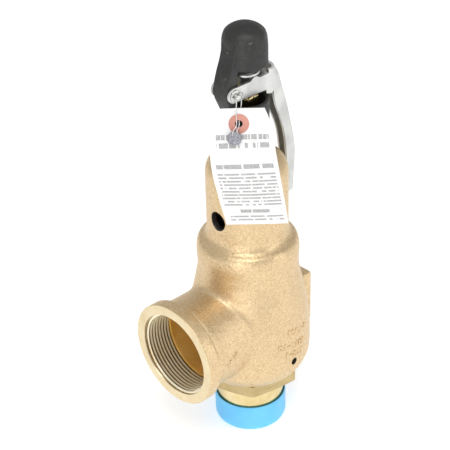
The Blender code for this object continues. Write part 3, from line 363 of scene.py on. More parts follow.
def blend(tree, factor, a, b):
    mix = add(tree, "ShaderNodeMix", data_type="RGBA")
    for socket, value in (("Factor_Float", factor), ("A_Color", a), ("B_Color", b)):
        target = next(s for s in mix.inputs if s.identifier == socket)
        if isinstance(value, bpy.types.NodeSocket):
            tree.links.new(value, target)
        else:
            target.default_value = (*value, 1)
    return next(s for s in mix.outputs if s.identifier == "Result_Color")


def shade(tree, value, low, high, a, b):
    """One colour at a low value, another at a high one."""
    return blend(tree, spread(tree, value, low, high), a, b)


def new_group(name, inputs, outputs):
    group = bpy.data.node_groups.new(name, "ShaderNodeTree")
    for label, kind, value in inputs:
        socket = group.interface.new_socket(name=label, in_out="INPUT", socket_type=kind)
        if value is not None:
            socket.default_value = value
    for label in outputs:
        group.interface.new_socket(name=label, in_out="OUTPUT", socket_type="NodeSocketFloat")
    return group, group.nodes.new("NodeGroupInput").outputs, group.nodes.new("NodeGroupOutput").inputs


def make_grain_group():
    """The skin of a sand casting: a fine blasted grain, soft lumps, blotches of tone and a few pits."""
    group, given, result = new_group("Casting grain", [("Vector", "NodeSocketVector", None),
        ("Grain", "NodeSocketFloat", 900), ("Pits", "NodeSocketFloat", 0.5)], ("Height", "Tone", "Tint", "Pit"))
    fine = noise(group, given["Vector"], given["Grain"], 2, 0.6)
    coarse = noise(group, given["Vector"], times(group, given["Grain"], 0.32), 3, 0.6)
    lumps = noise(group, given["Vector"], 70, 2)
    cells = add(group, "ShaderNodeTexVoronoi", {"Vector": given["Vector"], "Scale": 130})
    rare = spread(group, noise(group, given["Vector"], 38, 1), 0.56, 0.62)
    hole = spread(group, cells.outputs["Distance"], 0.10, 0.17, 1, 0)
    pit = times(group, times(group, hole, rare), given["Pits"])
    skin = plus(group, times(group, fine, 0.5), times(group, coarse, 0.9))
    height = plus(group, skin, times(group, lumps, 1.2))
    group.links.new(minus(group, height, times(group, pit, 2)), result["Height"])
    group.links.new(plus(group, times(group, fine, 0.75), times(group, coarse, 0.25)), result["Tone"])
    group.links.new(spread(group, noise(group, given["Vector"], 22, 3), 0.4, 0.66), result["Tint"])
    group.links.new(pit, result["Pit"])
    return group


def make_handling_group():
    """Rubbed patches and hair scratches from handling."""
    group, given, result = new_group("Handling marks", [("Vector", "NodeSocketVector", None),
        ("Scratches", "NodeSocketFloat", 0.5)], ("Rub", "Scratch", "Cloud"))
    cloud = noise(group, given["Vector"], 45, 4, 0.6)
    group.links.new(cloud, result["Cloud"])
    group.links.new(spread(group, cloud, 0.56, 0.68), result["Rub"])
    hair = noise(group, stretched(group, given["Vector"], (1600, 260, 60)), 1, 2, 0.5, 1.2)
    group.links.new(times(group, spread(group, hair, 0.66, 0.72), given["Scratches"]), result["Scratch"])
    return group


def make_turning_group():
    """Fine rings left by a lathe tool, closest along the most stretched axis of the vector."""
    group, given, result = new_group("Turning marks", [("Vector", "NodeSocketVector", None)], ("Height", "Cloud"))
    rings = noise(group, given["Vector"], 1, 2, 0.7)
    group.links.new(rings, result["Height"])
    group.links.new(noise(group, given["Vector"], 0.04, 2), result["Cloud"])
    return group


GRAIN = make_grain_group()
HANDLING = make_handling_group()
TURNING = make_turning_group()


def use(tree, group, sockets):
    return add(tree, "ShaderNodeGroup", sockets, node_tree=group).outputs


def start_material(name, metallic, roughness):
    made = bpy.data.materials.new(name)
    made.use_nodes = True
    shader = made.node_tree.nodes["Principled BSDF"]
    shader.inputs["Metallic"].default_value = metallic
    shader.inputs["Roughness"].default_value = roughness
    return made, made.node_tree, add(made.node_tree, "ShaderNodeTexCoord").outputs["Object"]


def finish(made, colours, rough, height, strength, relief):
    """Joins the colours, the roughness and the relief to the shader."""
    tree = made.node_tree
    shader = tree.nodes["Principled BSDF"]
    raised = add(tree, "ShaderNodeBump", {"Height": height, "Strength": strength, "Distance": relief})
    for value, socket in ((colours, "Base Color"), (rough, "Roughness"), (raised.outputs["Normal"], "Normal")):
        tree.links.new(value, shader.inputs[socket])
    return made


def cast_metal(name, dark, light, tint, metallic, roughness):
    made, tree, at = start_material(name, metallic, roughness)
    skin = use(tree, GRAIN, {"Vector": at, "Grain": 1150, "Pits": 0.25})
    tone = shade(tree, skin["Tone"], 0.36, 0.64, dark, light)
    tone = blend(tree, times(tree, skin["Tint"], 0.22), tone, tint)
    tone = blend(tree, skin["Pit"], tone, [0.35 * c for c in dark])
    rough = spread(tree, skin["Tone"], 0.35, 0.65, roughness + 0.1, roughness - 0.08)
    return finish(made, tone, rough, skin["Height"], 0.8, 0.0004)


def machined_metal(name, dark, light, roughness, rings, relief=0.00006, metallic=1):
    """rings is how the marks are spaced along X, Y and Z; the largest is across the tool's path."""
    made, tree, at = start_material(name, metallic, roughness)
    marks = use(tree, TURNING, {"Vector": stretched(tree, at, rings)})
    worn = use(tree, HANDLING, {"Vector": at, "Scratches": 0.6})
    rough = plus(tree, spread(tree, marks["Height"], 0.3, 0.7, roughness - 0.05, roughness + 0.06),
        times(tree, worn["Rub"], 0.08))
    return finish(made, shade(tree, worn["Cloud"], 0.35, 0.65, dark, light),
        plus(tree, rough, times(tree, worn["Scratch"], 0.1)), minus(tree, marks["Height"],
        times(tree, worn["Scratch"], 0.5)), 0.6, relief)


def plated_metal(name, dark, light, roughness):
    """Zinc plating: a slightly milky grey with soft patches, brighter where it is rubbed."""
    made, tree, at = start_material(name, 0.9, roughness)
    worn = use(tree, HANDLING, {"Vector": at, "Scratches": 0.8})
    tone = blend(tree, times(tree, worn["Scratch"], 0.35), shade(tree, worn["Cloud"], 0.38, 0.62, dark, light),
        (0.45, 0.46, 0.45))
    return finish(made, tone, spread(tree, worn["Cloud"], 0.35, 0.65, roughness + 0.08, roughness - 0.06),
        minus(tree, noise(tree, at, 1500, 2), worn["Scratch"]), 0.35, 0.00005)


def painted_iron(name):
    """Black paint over a rough casting, rubbed grey on patches."""
    made, tree, at = start_material(name, 0, 0.5)
    skin = use(tree, GRAIN, {"Vector": at, "Grain": 620, "Pits": 0.8})
    worn = use(tree, HANDLING, {"Vector": at, "Scratches": 0.9})
    tone = shade(tree, skin["Tone"], 0.36, 0.64, (0.012, 0.012, 0.0115), (0.022, 0.022, 0.021))
    tone = blend(tree, times(tree, worn["Rub"], 0.5), tone, (0.06, 0.057, 0.053))
    fleck = times(tree, spread(tree, noise(tree, at, 300, 2), 0.69, 0.74), 0.5)
    return finish(made, blend(tree, fleck, tone, (0.22, 0.2, 0.18)), spread(tree, worn["Cloud"], 0.35, 0.65, 0.62,
        0.46), skin["Height"], 0.7, 0.0003)


def blue_plastic(name):
    made, tree, at = start_material(name, 0, 0.42)
    scuff = use(tree, HANDLING, {"Vector": at, "Scratches": 1})
    for socket, value in (("Subsurface Weight", 0.15), ("Subsurface Scale", 0.003)):
        tree.nodes["Principled BSDF"].inputs[socket].default_value = value
    return finish(made, shade(tree, noise(tree, at, 60, 3), 0.3, 0.7, (0.13, 0.54, 0.96), (0.16, 0.60, 1)),
        spread(tree, scuff["Cloud"], 0.35, 0.65, 0.38, 0.5), minus(tree, noise(tree, at, 700), scuff["Scratch"]),
        0.25, 0.00008)


def crimped_lead(name):
    made, tree, at = start_material(name, 0.75, 0.5)
    lumps = noise(tree, at, 620, 3, 0.6)
    dents = add(tree, "ShaderNodeTexVoronoi", {"Vector": at, "Scale": 900}).outputs["Distance"]
    both = plus(tree, times(tree, lumps, 1.2), dents)
    return finish(made, shade(tree, both, 0.5, 1.3, (0.13, 0.13, 0.15), (0.42, 0.42, 0.46)),
        spread(tree, lumps, 0.3, 0.7, 0.42, 0.62), both, 0.9, 0.0005)


def spring_finish(name):
    made, tree, at = start_material(name, 0.9, 0.35)
    film = noise(tree, at, 90, 3)
    return finish(made, shade(tree, film, 0.35, 0.65, (0.12, 0.12, 0.12), (0.24, 0.22, 0.2)),
        spread(tree, film, 0.35, 0.65, 0.28, 0.45), noise(tree, at, 900), 0.3, 0.00008)


def twisted_steel(name):
    """Bright wire; its strands show as slanted bands along the curve's own length, in painted shade between the
    strands and painted highlight on them.
    """
    made, tree, _ = start_material(name, 1, 0.3)
    along = add(tree, "ShaderNodeUVMap").outputs["UV"]
    bands = add(tree, "ShaderNodeTexWave", {"Vector": stretched(tree, along, (60, 1, 1)), "Scale": 1},
        bands_direction="DIAGONAL").outputs["Fac"]
    # Dark and light band colours: painted shade between the strands, painted highlight on them.
    return finish(made, blend(tree, bands, (0.5, 0.5, 0.5), (0.9, 0.9, 0.9)), spread(tree, bands, 0, 1, 0.4, 0.22),
        bands, 0.4, 0.0001)


BRASS_DARK = (0.72, 0.57, 0.28)
BRASS_LIGHT = (0.88, 0.74, 0.44)
CAST_BRONZE = cast_metal("cast bronze", (0.56, 0.41, 0.225), (0.86, 0.67, 0.41), (0.68, 0.50, 0.32), 0.9, 0.42)
CUT_BRONZE = machined_metal("machined bronze", (0.69, 0.56, 0.345), (0.79, 0.67, 0.445), 0.3, (90, 2600, 90))
BORE_BRONZE = machined_metal("bored bronze", (0.92, 0.55, 0.12), (1, 0.68, 0.22), 0.42, (90, 1600, 90), 0.00008,
    0.5)
# Pale copy of the bored bronze for the outlet thread ridges: a painted highlight on the crests.
THREAD_CREST_HIGHLIGHT = machined_metal("thread crest painted highlight", (0.96, 0.84, 0.58), (1, 0.93, 0.72), 0.34, (60, 300, 60), 0.00003,
    0.55)
# Near-black copy of the bored bronze for the threaded wall between the outlet ridges: painted shade in the thread
# roots.
THREAD_ROOT_SHADE = machined_metal("thread root painted shade", (0.07, 0.038, 0.014), (0.11, 0.06, 0.022), 0.6, (90, 1600, 90), 0.0001,
    0.4)
MACHINED_BRASS = machined_metal("machined brass", BRASS_DARK, BRASS_LIGHT, 0.16, (60, 60, 2600))
# Darker, rougher copy of the machined brass for the hexagon: the roughness is the milled finish, the darker colour
# is painted shade on the flats.
MILLED_BRASS_WITH_SHADE = machined_metal("milled brass with painted shade", (0.47, 0.36, 0.175), (0.60, 0.47, 0.25), 0.36, (260, 260, 1400),
    0.00012)
# Near-black: the ring set screw's own blackened steel, and painted shade on the walls of the vent and set-screw
# holes in the bronze body.
DARK_STEEL_AND_HOLE_SHADE = machined_metal("blackened steel and painted hole shade", (0.03, 0.028, 0.025), (0.06, 0.055, 0.05), 0.5, (300, 300, 300),
    0.0001, 0.6)
STAINLESS = machined_metal("stainless steel", (0.42, 0.42, 0.42), (0.58, 0.58, 0.57), 0.3, (80, 80, 2600))
PLATE_METAL = machined_metal("brushed plate", (0.55, 0.55, 0.54), (0.68, 0.68, 0.67), 0.34, (2600, 60, 60))
ZINC = plated_metal("zinc plated steel", (0.56, 0.565, 0.55), (0.68, 0.685, 0.665), 0.38)
BLACK_PAINT = painted_iron("painted iron")
BLUE = blue_plastic("blue plastic")
LEAD = crimped_lead("crimped lead")
SPRING_FINISH = spring_finish("oiled spring steel")
WIRE_FINISH = twisted_steel("seal wire steel")


def coat(obj, material):
    """Gives a piece one finish all over."""
    obj.data.materials.clear()
    obj.data.materials.append(material)
    return obj


def settle(obj, material, slot, *nodes, body=VALVE_BODY):
    """Finish, body, slot (not used) and the CAD nodes that the piece stands for."""
    if material is not None:
        coat(obj, material)
    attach(obj, body)
    if nodes:
        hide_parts(*nodes)
    return obj


# ---------- camera
VIEW_AZIMUTH = math.radians(46.84)
VIEW_ELEVATION = math.radians(32.36)
VIEW_ROLL = math.radians(-1.53)
VIEW_DISTANCE = 1.16811
VIEW_HEIGHT = 0.20027
VIEW_ASIDE = -0.01903
LENS = 110.94


def make_camera():
    turn = (Matrix.Rotation(VIEW_AZIMUTH, 4, "Z") @ Matrix.Rotation(math.pi / 2 - VIEW_ELEVATION, 4, "X"))
    aim = Vector((0, 0, VIEW_HEIGHT)) + turn @ Vector((VIEW_ASIDE, 0, 0))
    data = bpy.data.cameras.new("view")
    data.lens = LENS
    data.sensor_width = 36
    camera = bpy.data.objects.new("view", data)
    camera.matrix_world = (Matrix.Translation(aim + turn @ Vector((0, 0, VIEW_DISTANCE))) @ turn
        @ Matrix.Rotation(VIEW_ROLL, 4, "Z"))
    bpy.context.scene.collection.objects.link(camera)
    bpy.context.scene.camera = camera


make_camera()

# ---------- seal wire, seal and tag places
PIVOT = Vector((0, -21.6, 332.9))
PIN_END = Vector((15, PIVOT.y, PIVOT.z))
TAG_TURN = math.radians(46.84)
FACING = Vector((math.sin(TAG_TURN), -math.cos(TAG_TURN), 0))
SIDEWAYS = Vector((math.cos(TAG_TURN), math.sin(TAG_TURN), 0))
# Each place is (out, across, height) from the pivot pin's end, in mm.
FRONT_STRAND = ((-1.3, -1.9, -3.3), (-0.9, -2.2, -6.3), (-0.1, -2.5, -9.9), (0.9, -2.5, -13.9), (1.9, -2.3, -18.3),
    (3.1, -2.5, -22.1), (4.5, -3.7, -24.6), (5.6, -5.1, -25.8))
BACK_STRAND = ((-4.1, 1.9, -3.7), (-3.8, 1.7, -6.9), (-3.4, 1.3, -10.3), (-2.6, 0.7, -14.3), (-1.7, 0.3, -18.1),
    (-0.5, -0.1, -20.7), (1.5, -0.4, -22.7), (3.3, -0.9, -24.3), (5.2, -2.1, -25.6))
INSIDE_SEAL = ((5.9, -5.7, -28), (6, -5.6, -30.2), (5.9, -4, -31.9), (5.7, -2.3, -30.2), (5.5, -2.1, -28))
WIRE_RADIUS = 0.42


def tag_place(out, across, height):
    return (PIN_END + FACING * out + SIDEWAYS * across + Vector((0, 0, height))) * MM


def smooth_route(points, parts):
    """Catmull-Rom points through the given ones."""
    padded = [points[0] * 2 - points[1], *points, points[-1] * 2 - points[-2]]
    route = []
    for a, b, c, d in zip(padded, padded[1:], padded[2:], padded[3:]):
        for i in range(parts):
            t = i / parts
            route.append(0.5 * ((2 * b) + (c - a) * t + (2 * a - 5 * b + 4 * c - d) * t * t
                + (3 * b - a - 3 * c + d) * t ** 3))
    route.append(points[-1])
    return route


def wire_curve(name, points, radius, resolution):
    data = bpy.data.curves.new(name, "CURVE")
    data.dimensions = "3D"
    data.bevel_depth = radius * MM
    data.bevel_resolution = resolution
    data.use_fill_caps = True
    spline = data.splines.new("POLY")
    spline.points.add(len(points) - 1)
    for point, co in zip(spline.points, points):
        point.co = (*co, 1)
    spline.use_smooth = True
    wire = bpy.data.objects.new(name, data)
    bpy.context.scene.collection.objects.link(wire)
    return wire


def make_seal_wire():
    """One bright wire: down in front of the tag, through the seal, and back up through the tag's hole."""
    knots = [tag_place(*p) for p in FRONT_STRAND + INSIDE_SEAL + BACK_STRAND[::-1]]
    route = smooth_route(knots, 5)
    wire = wire_curve("seal_wire", route, WIRE_RADIUS, 3)
    settle(wire, WIRE_FINISH, "stainless", "seal_wire_front", "seal_wire_back")
    return wire, route


seal_wire, wire_route = make_seal_wire()


# ---------- cast body
OUTLET_Z = 111.3
VENT_Z = 218.8
RING_SCREW_Z = 82.75
OUTLET_PITCH = 3.175
INLET_PITCH = 2.209
RIVETS = ((-11.4, 86.9), (11.4, 86.9), (-11.4, 124.9), (11.4, 124.9))
BELLY_PROFILE = [(0, 57.3), (38.5, 57.3, 2.5), (44.6, 60.5), (50, 68), (53.2, 77), (53.6, 88), (53.55, 100),
    (53, 108), (51.5, 122), (48.6, 138), (45.6, 151), (43.6, 161.5), (43.4, 170), (44.1, 179), (43.6, 185.5),
    (42.2, 189.6), (40.2, 191.7), (38.2, 192.6), (36.4, 194.3), (35.2, 197), (34.7, 200.5), (34.7, 253.5),
    (34.4, 257), (32.9, 261.6), (30.2, 265.6), (26.6, 268.5), (22.4, 270.1), (18.7, 270.5), (15.8, 270.6, 0.6),
    (15.8, 288.2), (0, 288.2)]
PIPE_R = 41
PIPE_PROFILE = [(0, 0), (PIPE_R, 0), (PIPE_R, 60), (41.4, 68), (42, 73), (41.8, 75.4), (40.6, 77), (40.4, 83),
    (0, 83)]
BAND_PROFILE = [(30, 77.6), (44.4, 77.6), (45.7, 78.2, 0.5), (46, 79.4, 0.5), (46, 89.6, 1.1), (30, 89.6)]


def along_outlet():
    """Takes a piece made up the Z axis to the outlet's axis, facing -Y."""
    return Matrix.Translation((0, 0, OUTLET_Z * MM)) @ turned(90, "X")


def profile_radius(profile, z):
    for (r0, z0), (r1, z1) in zip([p[:2] for p in profile], [p[:2] for p in profile[1:]]):
        if z0 <= z <= z1 and z1 > z0:
            return r0 + (r1 - r0) * (z - z0) / (z1 - z0)
    return 0


def joint_weight(co):
    """How near a point is to where the branch or the pad runs into the belly, 0 to 1."""
    x, y, z = co / MM
    off_belly = abs(math.hypot(x, y) - profile_radius(BELLY_PROFILE, z))
    off_pipe = abs(math.hypot(x, z - OUTLET_Z) - PIPE_R) if y < -20 else 99
    off_pad = max(abs(x) - 18, 80.3 - z, z - 131.5) if y > 30 else 99
    near_pipe = 1 - max(off_belly, off_pipe) / 13
    near_pad = 1 - max(off_belly, abs(off_pad)) / 4.5
    return max(near_pipe, near_pad, 0)


def make_body():
    body = lathe("cast_body", BELLY_PROFILE, 128, segments=5)
    pipe = place(lathe("pipe", PIPE_PROFILE, 128), along_outlet())
    pad = block("pad", (-18, 20, 80.3), (18, 61, 131.5))
    join(body, pipe, soften(pad, 1.2 * MM, 3))
    shape(body, "REMESH", mode="VOXEL", voxel_size=1.25 * MM, use_smooth_shade=True)
    melt(body, joint_weight, 1.6, 70)
    ripple(body, "casting waves", 9, 0.35)
    coat(body, CAST_BRONZE)
    band = place(lathe("band", BAND_PROFILE, 160, True), along_outlet())
    join(body, coat(band, CAST_BRONZE))
    trim = place(lathe("trim", [(0, 89.35), (50, 89.35), (50, 95), (0, 95)], 48), along_outlet())
    foot = lathe("foot", [(0, 50), (50, 50), (50, 57.8), (0, 57.8)], 64)
    top = lathe("top", [(0, 288), (30, 288), (30, 295), (0, 295)], 64)
    cut(body, coat(trim, CUT_BRONZE), coat(foot, CUT_BRONZE), coat(top, CUT_BRONZE))
    inside = [(0, 289), (11.3, 289), (11.3, 256), (29.7, 256), (29.7, 170.8), (32.3, 170.8), (32.3, 155.1),
        (35.5, 151), (37, 140), (37, 84), (35, 78), (33.3, 73.2), (33.3, 57), (0, 57)]
    hollow = lathe("hollow", inside, 96)
    bore = [(0, 90.6), (37.7, 90.6), (36.8, 88.6), (36.8, 87.2), (36.8, 61.6), (35.4, 60.8), (35.4, 22), (0, 22)]
    outlet = place(lathe("outlet", bore, 128), along_outlet())
    for material in (BORE_BRONZE, THREAD_ROOT_SHADE, CUT_BRONZE):
        outlet.data.materials.append(material)
    # Faces by depth: the smooth bore, the threaded wall in near-black painted shade, and the cut face at the
    # mouth.
    for face in outlet.data.polygons:
        depth = -face.center.y / MM
        face.material_index = 2 if depth > 87.5 else 1 if depth > 62 else 0
    vent = place(lathe("vent", [(0, 20), (7.9, 20), (7.9, 33), (9.3, 35.4), (0, 35.4)], 64),
        Matrix.Translation((0, 0, VENT_Z * MM)) @ turned(90, "X"))
    screw_hole = place(lathe("screw hole", [(0, 38), (3.1, 38), (3.1, 52.6), (3.9, 54.4), (0, 54.4)], 40),
        Matrix.Translation((0, 0, RING_SCREW_Z * MM)) @ turned(2, "Z") @ turned(90, "Y"))
    # The vent and set-screw hole cutters give their near-black finish to the hole walls: painted shade inside the
    # holes.
    cut(body, coat(hollow, BORE_BRONZE), outlet, coat(vent, DARK_STEEL_AND_HOLE_SHADE), coat(screw_hole, DARK_STEEL_AND_HOLE_SHADE))
    for x, z in sorted(RIVETS):
        cut(body, bar("rivet hole", 1.6, (x, 56.7, z), (x, 62, z), 20))
    smooth(body, 30)
    settle(body, None, "cast_bronze", "body")


make_body()


def make_outlet_thread():
    ridge = thread("outlet_thread", 36.8, 35.2, OUTLET_PITCH, 62, 87.4, 96, 0.25)
    # The ridges take the pale crest finish, a painted highlight.
    settle(place(ridge, along_outlet()), THREAD_CREST_HIGHLIGHT, "cast_bronze")


make_outlet_thread()


# ---------- raised foundry marks
def make_marks():
    """Worn cast pads in rows on the belly: no letters, only foundry tallies."""
    rows = ((-4, 114.5, "|=|.-|"), (-14.5, 103.5, "=|-:|=|"), (-7.5, 93, "|-=:|"))
    strokes = {"|": ((0, 0, 1.5, 6.4),), "=": ((0, 2, 3.6, 1.5), (0, -2, 3.6, 1.5), (-1.2, 0, 1.4, 5)),
        "-": ((0, 0, 3.4, 1.6),), ":": ((0, 1.9, 1.7, 1.7), (0, -1.9, 1.7, 1.7)), ".": ((0, -2.2, 1.8, 1.8),)}
    marks = []
    for angle, height, row in rows:
        for kind in row:
            for across, up, wide, tall in strokes[kind]:
                mark = block("mark", (-0.8, -wide / 2, -tall / 2), (0.8, wide / 2, tall / 2))
                soften(mark, 0.6 * MM, 3)
                z = height + up
                turn = math.radians(angle + across / 53 * 57.3)
                place(mark, Matrix.Rotation(turn, 4, "Z") @ moved(profile_radius(BELLY_PROFILE, z) - 0.25, 0, z)
                    @ turned(-8, "X"))
                marks.append(mark)
            angle += 4.9
            height -= 0.75
    for x, y, width in ((40.2, -65, 1.4), (40.4, -61.5, 2.4), (40.3, -57.4, 1.2), (40.2, -54.6, 2)):
        mark = block("mark", (-0.5, -width / 2, -1.9), (0.5, width / 2, 1.9))
        soften(mark, 0.45 * MM, 2)
        angle = math.radians(-4 + 0.9 * (65 + y))
        place(mark, moved(0, y, OUTLET_Z) @ Matrix.Rotation(-angle, 4, "Y") @ moved(41.3, 0, 0)
            @ Matrix.Rotation(0.3, 4, "X"))
        marks.append(mark)
    settle(smooth(gather("foundry_marks", marks), 60), CAST_BRONZE, "cast_bronze")


make_marks()


# ---------- nozzle and protector
HEX_TURN = 18.5


def make_nozzle():
    shank = [(18.6, 92, 0.3), (21.1, 89.8), (24, 89.8), (24, 73.3), (33, 73.3, 0.6), (33, 56), (34.5, 52),
        (34.5, 51), (29.6, 46.9), (28.9, 44, 1), (28.9, 2.6, 0.8), (28.2, 2.1), (24.9, 2.1, 0.5), (24.5, 2.9),
        (24.5, 47.7, 2), (16.3, 68, 2), (16.3, 92, 0.4)]
    nozzle = lathe("inlet_nozzle", shank, 96, True)
    hexagon = wrench_bar("hexagon", 77.8, 47.7, 60.2, HEX_TURN, 1.6, True, False)
    cut(hexagon, lathe("core", [(0, 40), (32, 40), (32, 62), (0, 62)], 64))
    soften(hexagon, 0.5 * MM, 2, 25)
    coat(nozzle, MACHINED_BRASS)
    # The hexagon's darker colour is painted shade on its flats.
    coat(hexagon, MILLED_BRASS_WITH_SHADE)
    join(nozzle, hexagon)
    smooth(nozzle, 30)
    settle(nozzle, None, "machined_brass", "nozzle")
    collar = lathe("nozzle_collar", [(28, 20), (30.15, 21, 0.5), (30.15, 46.9, 0.5), (28, 47.9)], 96, True)
    settle(collar, MACHINED_BRASS, "machined_brass")
    settle(thread("inlet_thread", 28.9, 30.1, INLET_PITCH, 4.4, 20, 72), MACHINED_BRASS, "machined_brass")


def make_protector():
    cup = [(0, 1.8), (29.2, 1.8, 1.5), (30.4, 3.6), (30.4, 26, 0.4), (31, 26.7, 0.3), (31.9, 26.7, 0.6),
        (32, 3, 2.4), (29, 0, 1.6), (26, 0, 0.5), (24.8, 0.5, 0.5), (0, 0.5)]
    protector = lathe("inlet_protector", cup, 128)
    for k in range(3):
        rib = block("rib", (30.05, -0.6, 6), (30.6, 0.6, 24))
        soften(rib, 0.15 * MM, 1)
        join(protector, place(rib, Matrix.Rotation(math.tau * k / 3 + 0.4, 4, "Z")))
    smooth(protector, 40)
    settle(protector, BLUE, "blue_plastic", "thread_protector", body="protector")


make_nozzle()
make_protector()


# ---------- lever cap
COLLAR_R = 19.2
COLLAR_TOP = 320.2
HOOD_R = 18.6
HOOD_RIM = 350.2
CAP_SCREW_Z = 278.8


def upright():
    """Takes an outline drawn as (y, z) into the upright plane through the valve's axis."""
    return Matrix(((0, 0, 1, 0), (1, 0, 0, 0), (0, 1, 0, 0), (0, 0, 0, 1)))


def near_pillar(co):
    """How near a point is to the line where the pillar leaves the hood, 0 to 1."""
    x, y, z = co / MM
    if z < HOOD_RIM - 1 or y > -4:
        return 0
    return max(0, 1 - abs(math.hypot(x, y) - HOOD_R) / 3.5) * max(0, 1 - abs(abs(x) - 8) / 4)


def make_cap():
    cap = lathe("cap", [(COLLAR_R, COLLAR_TOP, 0.8), (COLLAR_R, 271, 0.6), (16.1, 271), (16.1, COLLAR_TOP, 0.6)],
        96, True)
    hood = lathe("hood", [(0, 384.6), (5.5, 384.6, 3), (13, 382.2, 4.5), (17.6, 376.8, 4), (18.6, 369, 4),
        (HOOD_R, HOOD_RIM, 0.8), (15.3, HOOD_RIM, 0.8), (15.3, 373, 5), (6.6, 381.2, 4), (0, 381.4)], 96)
    outline = [(-9, 374), (-17.4, 373, 3), (-18.7, 366, 6), (-20.6, 359, 8), (-24.6, 349, 8), (-28, 338.5, 5),
        (-28.2, 330.8, 4), (-26.8, 326.6, 4), (-20.8, 313.6, 2), (-18.4, 308.2, 2), (-9.6, 308.2), (-9.6, 317.8),
        (-15.5, 319.4), (-15.5, 351.5), (-9, 351.5)]
    pillar = place(plate("pillar", outline, 16), upright())
    soften(pillar, 1.4 * MM, 3, 50)
    room = lathe("room", [(0, 310), (15.6, 310), (15.3, 374, 4), (0, 381)], 64)
    cut(pillar, room)
    join(cap, hood, pillar)
    shape(cap, "REMESH", mode="VOXEL", voxel_size=0.62 * MM, use_smooth_shade=True)
    melt(cap, near_pillar, 1.5, 3)
    ripple(cap, "iron waves", 6, 0.25)
    coat(cap, BLACK_PAINT)
    cut(cap, coat(bar("pin hole", 2.6, (-9, PIVOT.y, PIVOT.z), (9, PIVOT.y, PIVOT.z), 40), BLACK_PAINT))
    for number, degrees in enumerate((60, 180, 300), 1):
        hole = bar("hole", 2.7, (14, 0, CAP_SCREW_Z), (21, 0, CAP_SCREW_Z), 32)
        cut(cap, coat(place(hole, turned(degrees, "Z")), BLACK_PAINT))
        screw = lathe("cap_screw_%d" % degrees, [(0, 0), (2.4, 0), (2.4, 3.1, 0.35), (0, 3.1)], 32)
        cut(screw, block("slot", (-0.5, -3, 1.8), (0.5, 3, 4)))
        place(screw, turned(degrees, "Z") @ moved(15.9, 0, CAP_SCREW_Z) @ turned(90, "Y"))
        settle(smooth(screw), ZINC, "zinc_steel", "cap_set_screw_%d" % number)
    smooth(cap, 40)
    settle(cap, None, "black_iron", "lever_cap")


make_cap()

# ---------- lever
# Handle stations in mm: height above the pivot, outer line and inner edge behind the collar, and
# how much each side is narrower than at the arms.
HANDLE_STATIONS = ((9.6, 8.6, -3.3, 0), (4.6, 11.8, -2.8, 0), (-1, 14.6, -1.8, 0.1), (-9.5, 17.4, 2.7, 1),
    (-19, 20.8, 5.2, 2.2), (-29.5, 24.5, 9, 3.5), (-44, 28.6, 15.4, 4.6), (-58, 32.2, 20, 5.2),
    (-76, 35.6, 22.6, 5.3), (-92, 35.2, 22.8, 5.3), (-106, 34.4, 22.6, 5.3), (-117, 33.8, 23.8, 5.6))
ARM_OUTER = 10.4
SHEET = 2


def channel_row(height, back, front, narrower, columns=20):
    half = ARM_OUTER - narrower
    centre = COLLAR_R + back - half
    flange = COLLAR_R + front
    z = PIVOT.z + height
    row = [Vector((-half, flange + (centre - flange) * k / 5, z)) * MM for k in range(5)]
    for k in range(columns + 1):
        angle = math.pi * (1 - k / columns)
        row.append(Vector((half * math.cos(angle), centre + half * math.sin(angle), z)) * MM)
    return row + [Vector((half, centre + (flange - centre) * k / 5, z)) * MM for k in range(1, 6)]


def loft(name, rows):
    """Draws the first row, then extrudes it to each next row and fits it there."""
    sheet = draw(name, rows[0])
    pick_all()
    for last, row in zip(rows, rows[1:]):
        extrude((0, 0, -0.001 * MM))
        bm = bmesh.from_edit_mesh(sheet.data)
        for vert in [v for v in bm.verts if v.select]:
            vert.co = row[min(range(len(last)), key=lambda k: (last[k] - vert.co).length)]
        bmesh.update_edit_mesh(sheet.data)
    leave()
    return sheet


def make_lever():
    rows = [channel_row(*station) for station in smooth_route([Vector(s) for s in HANDLE_STATIONS], 3)]
    lever = loft("lift_lever", rows)
    enter(lever)
    close_up()
    leave()
    face_out(lever, Vector((0, 1, 0)))
    shape(lever, "SOLIDIFY", thickness=SHEET * MM, offset=-1)
    outline = [(PIVOT.y + 6.4 * math.cos(math.radians(a)), PIVOT.z + 6.4 * math.sin(math.radians(a)))
        for a in range(255, 67, -9)]
    top = PIVOT.z + 5.8
    outline += [(-4.2, top, 0.8), (-1.6, top + 1.9, 0.9), (0.2, top + 2.6, 1), (3, top + 2.6, 1),
        (4.8, top + 1, 0.8), (6.8, top, 0.8), (17, top + 0.8), (20.5, PIVOT.z + 8.8), (22, PIVOT.z - 2),
        (22.6, PIVOT.z - 10, 1), (19.5, PIVOT.z - 12.6, 0.8), (16.2, PIVOT.z - 11.6, 0.6),
        (13.6, PIVOT.z - 10.8, 0.3), (13.2, PIVOT.z - 7.4, 0.3)]
    for side in (-1, 1):
        arm = place(plate("arm", outline, SHEET - 0.12), upright())
        place(arm, Matrix.Translation((side * (ARM_OUTER - SHEET / 2) * MM, 0, 0)))
        x = side * ARM_OUTER
        cut(arm, bar("hole", 2.5, (x - side * 4, PIVOT.y, PIVOT.z), (x + side, PIVOT.y, PIVOT.z), 40))
        join(lever, arm)
    soften(lever, 0.3 * MM, 2, 50)
    smooth(lever, 40)
    settle(lever, ZINC, "zinc_steel", "lever", body="lever")


make_lever()


# ---------- pivot pin, washer and cotter
def along_x(x):
    """Takes a piece made up the Z axis to the pivot's axis, its foot at this x and facing +X."""
    return moved(x, PIVOT.y, PIVOT.z) @ turned(90, "Y")


def wire_along(name, points, radius):
    """A round wire through the points, in mm, as a closed mesh."""
    activate(wire_curve(name, [co * MM for co in points], radius, 5))
    bpy.ops.object.convert(target="MESH")
    wire = bpy.context.object
    enter(wire)
    close_up()
    leave()
    return wire


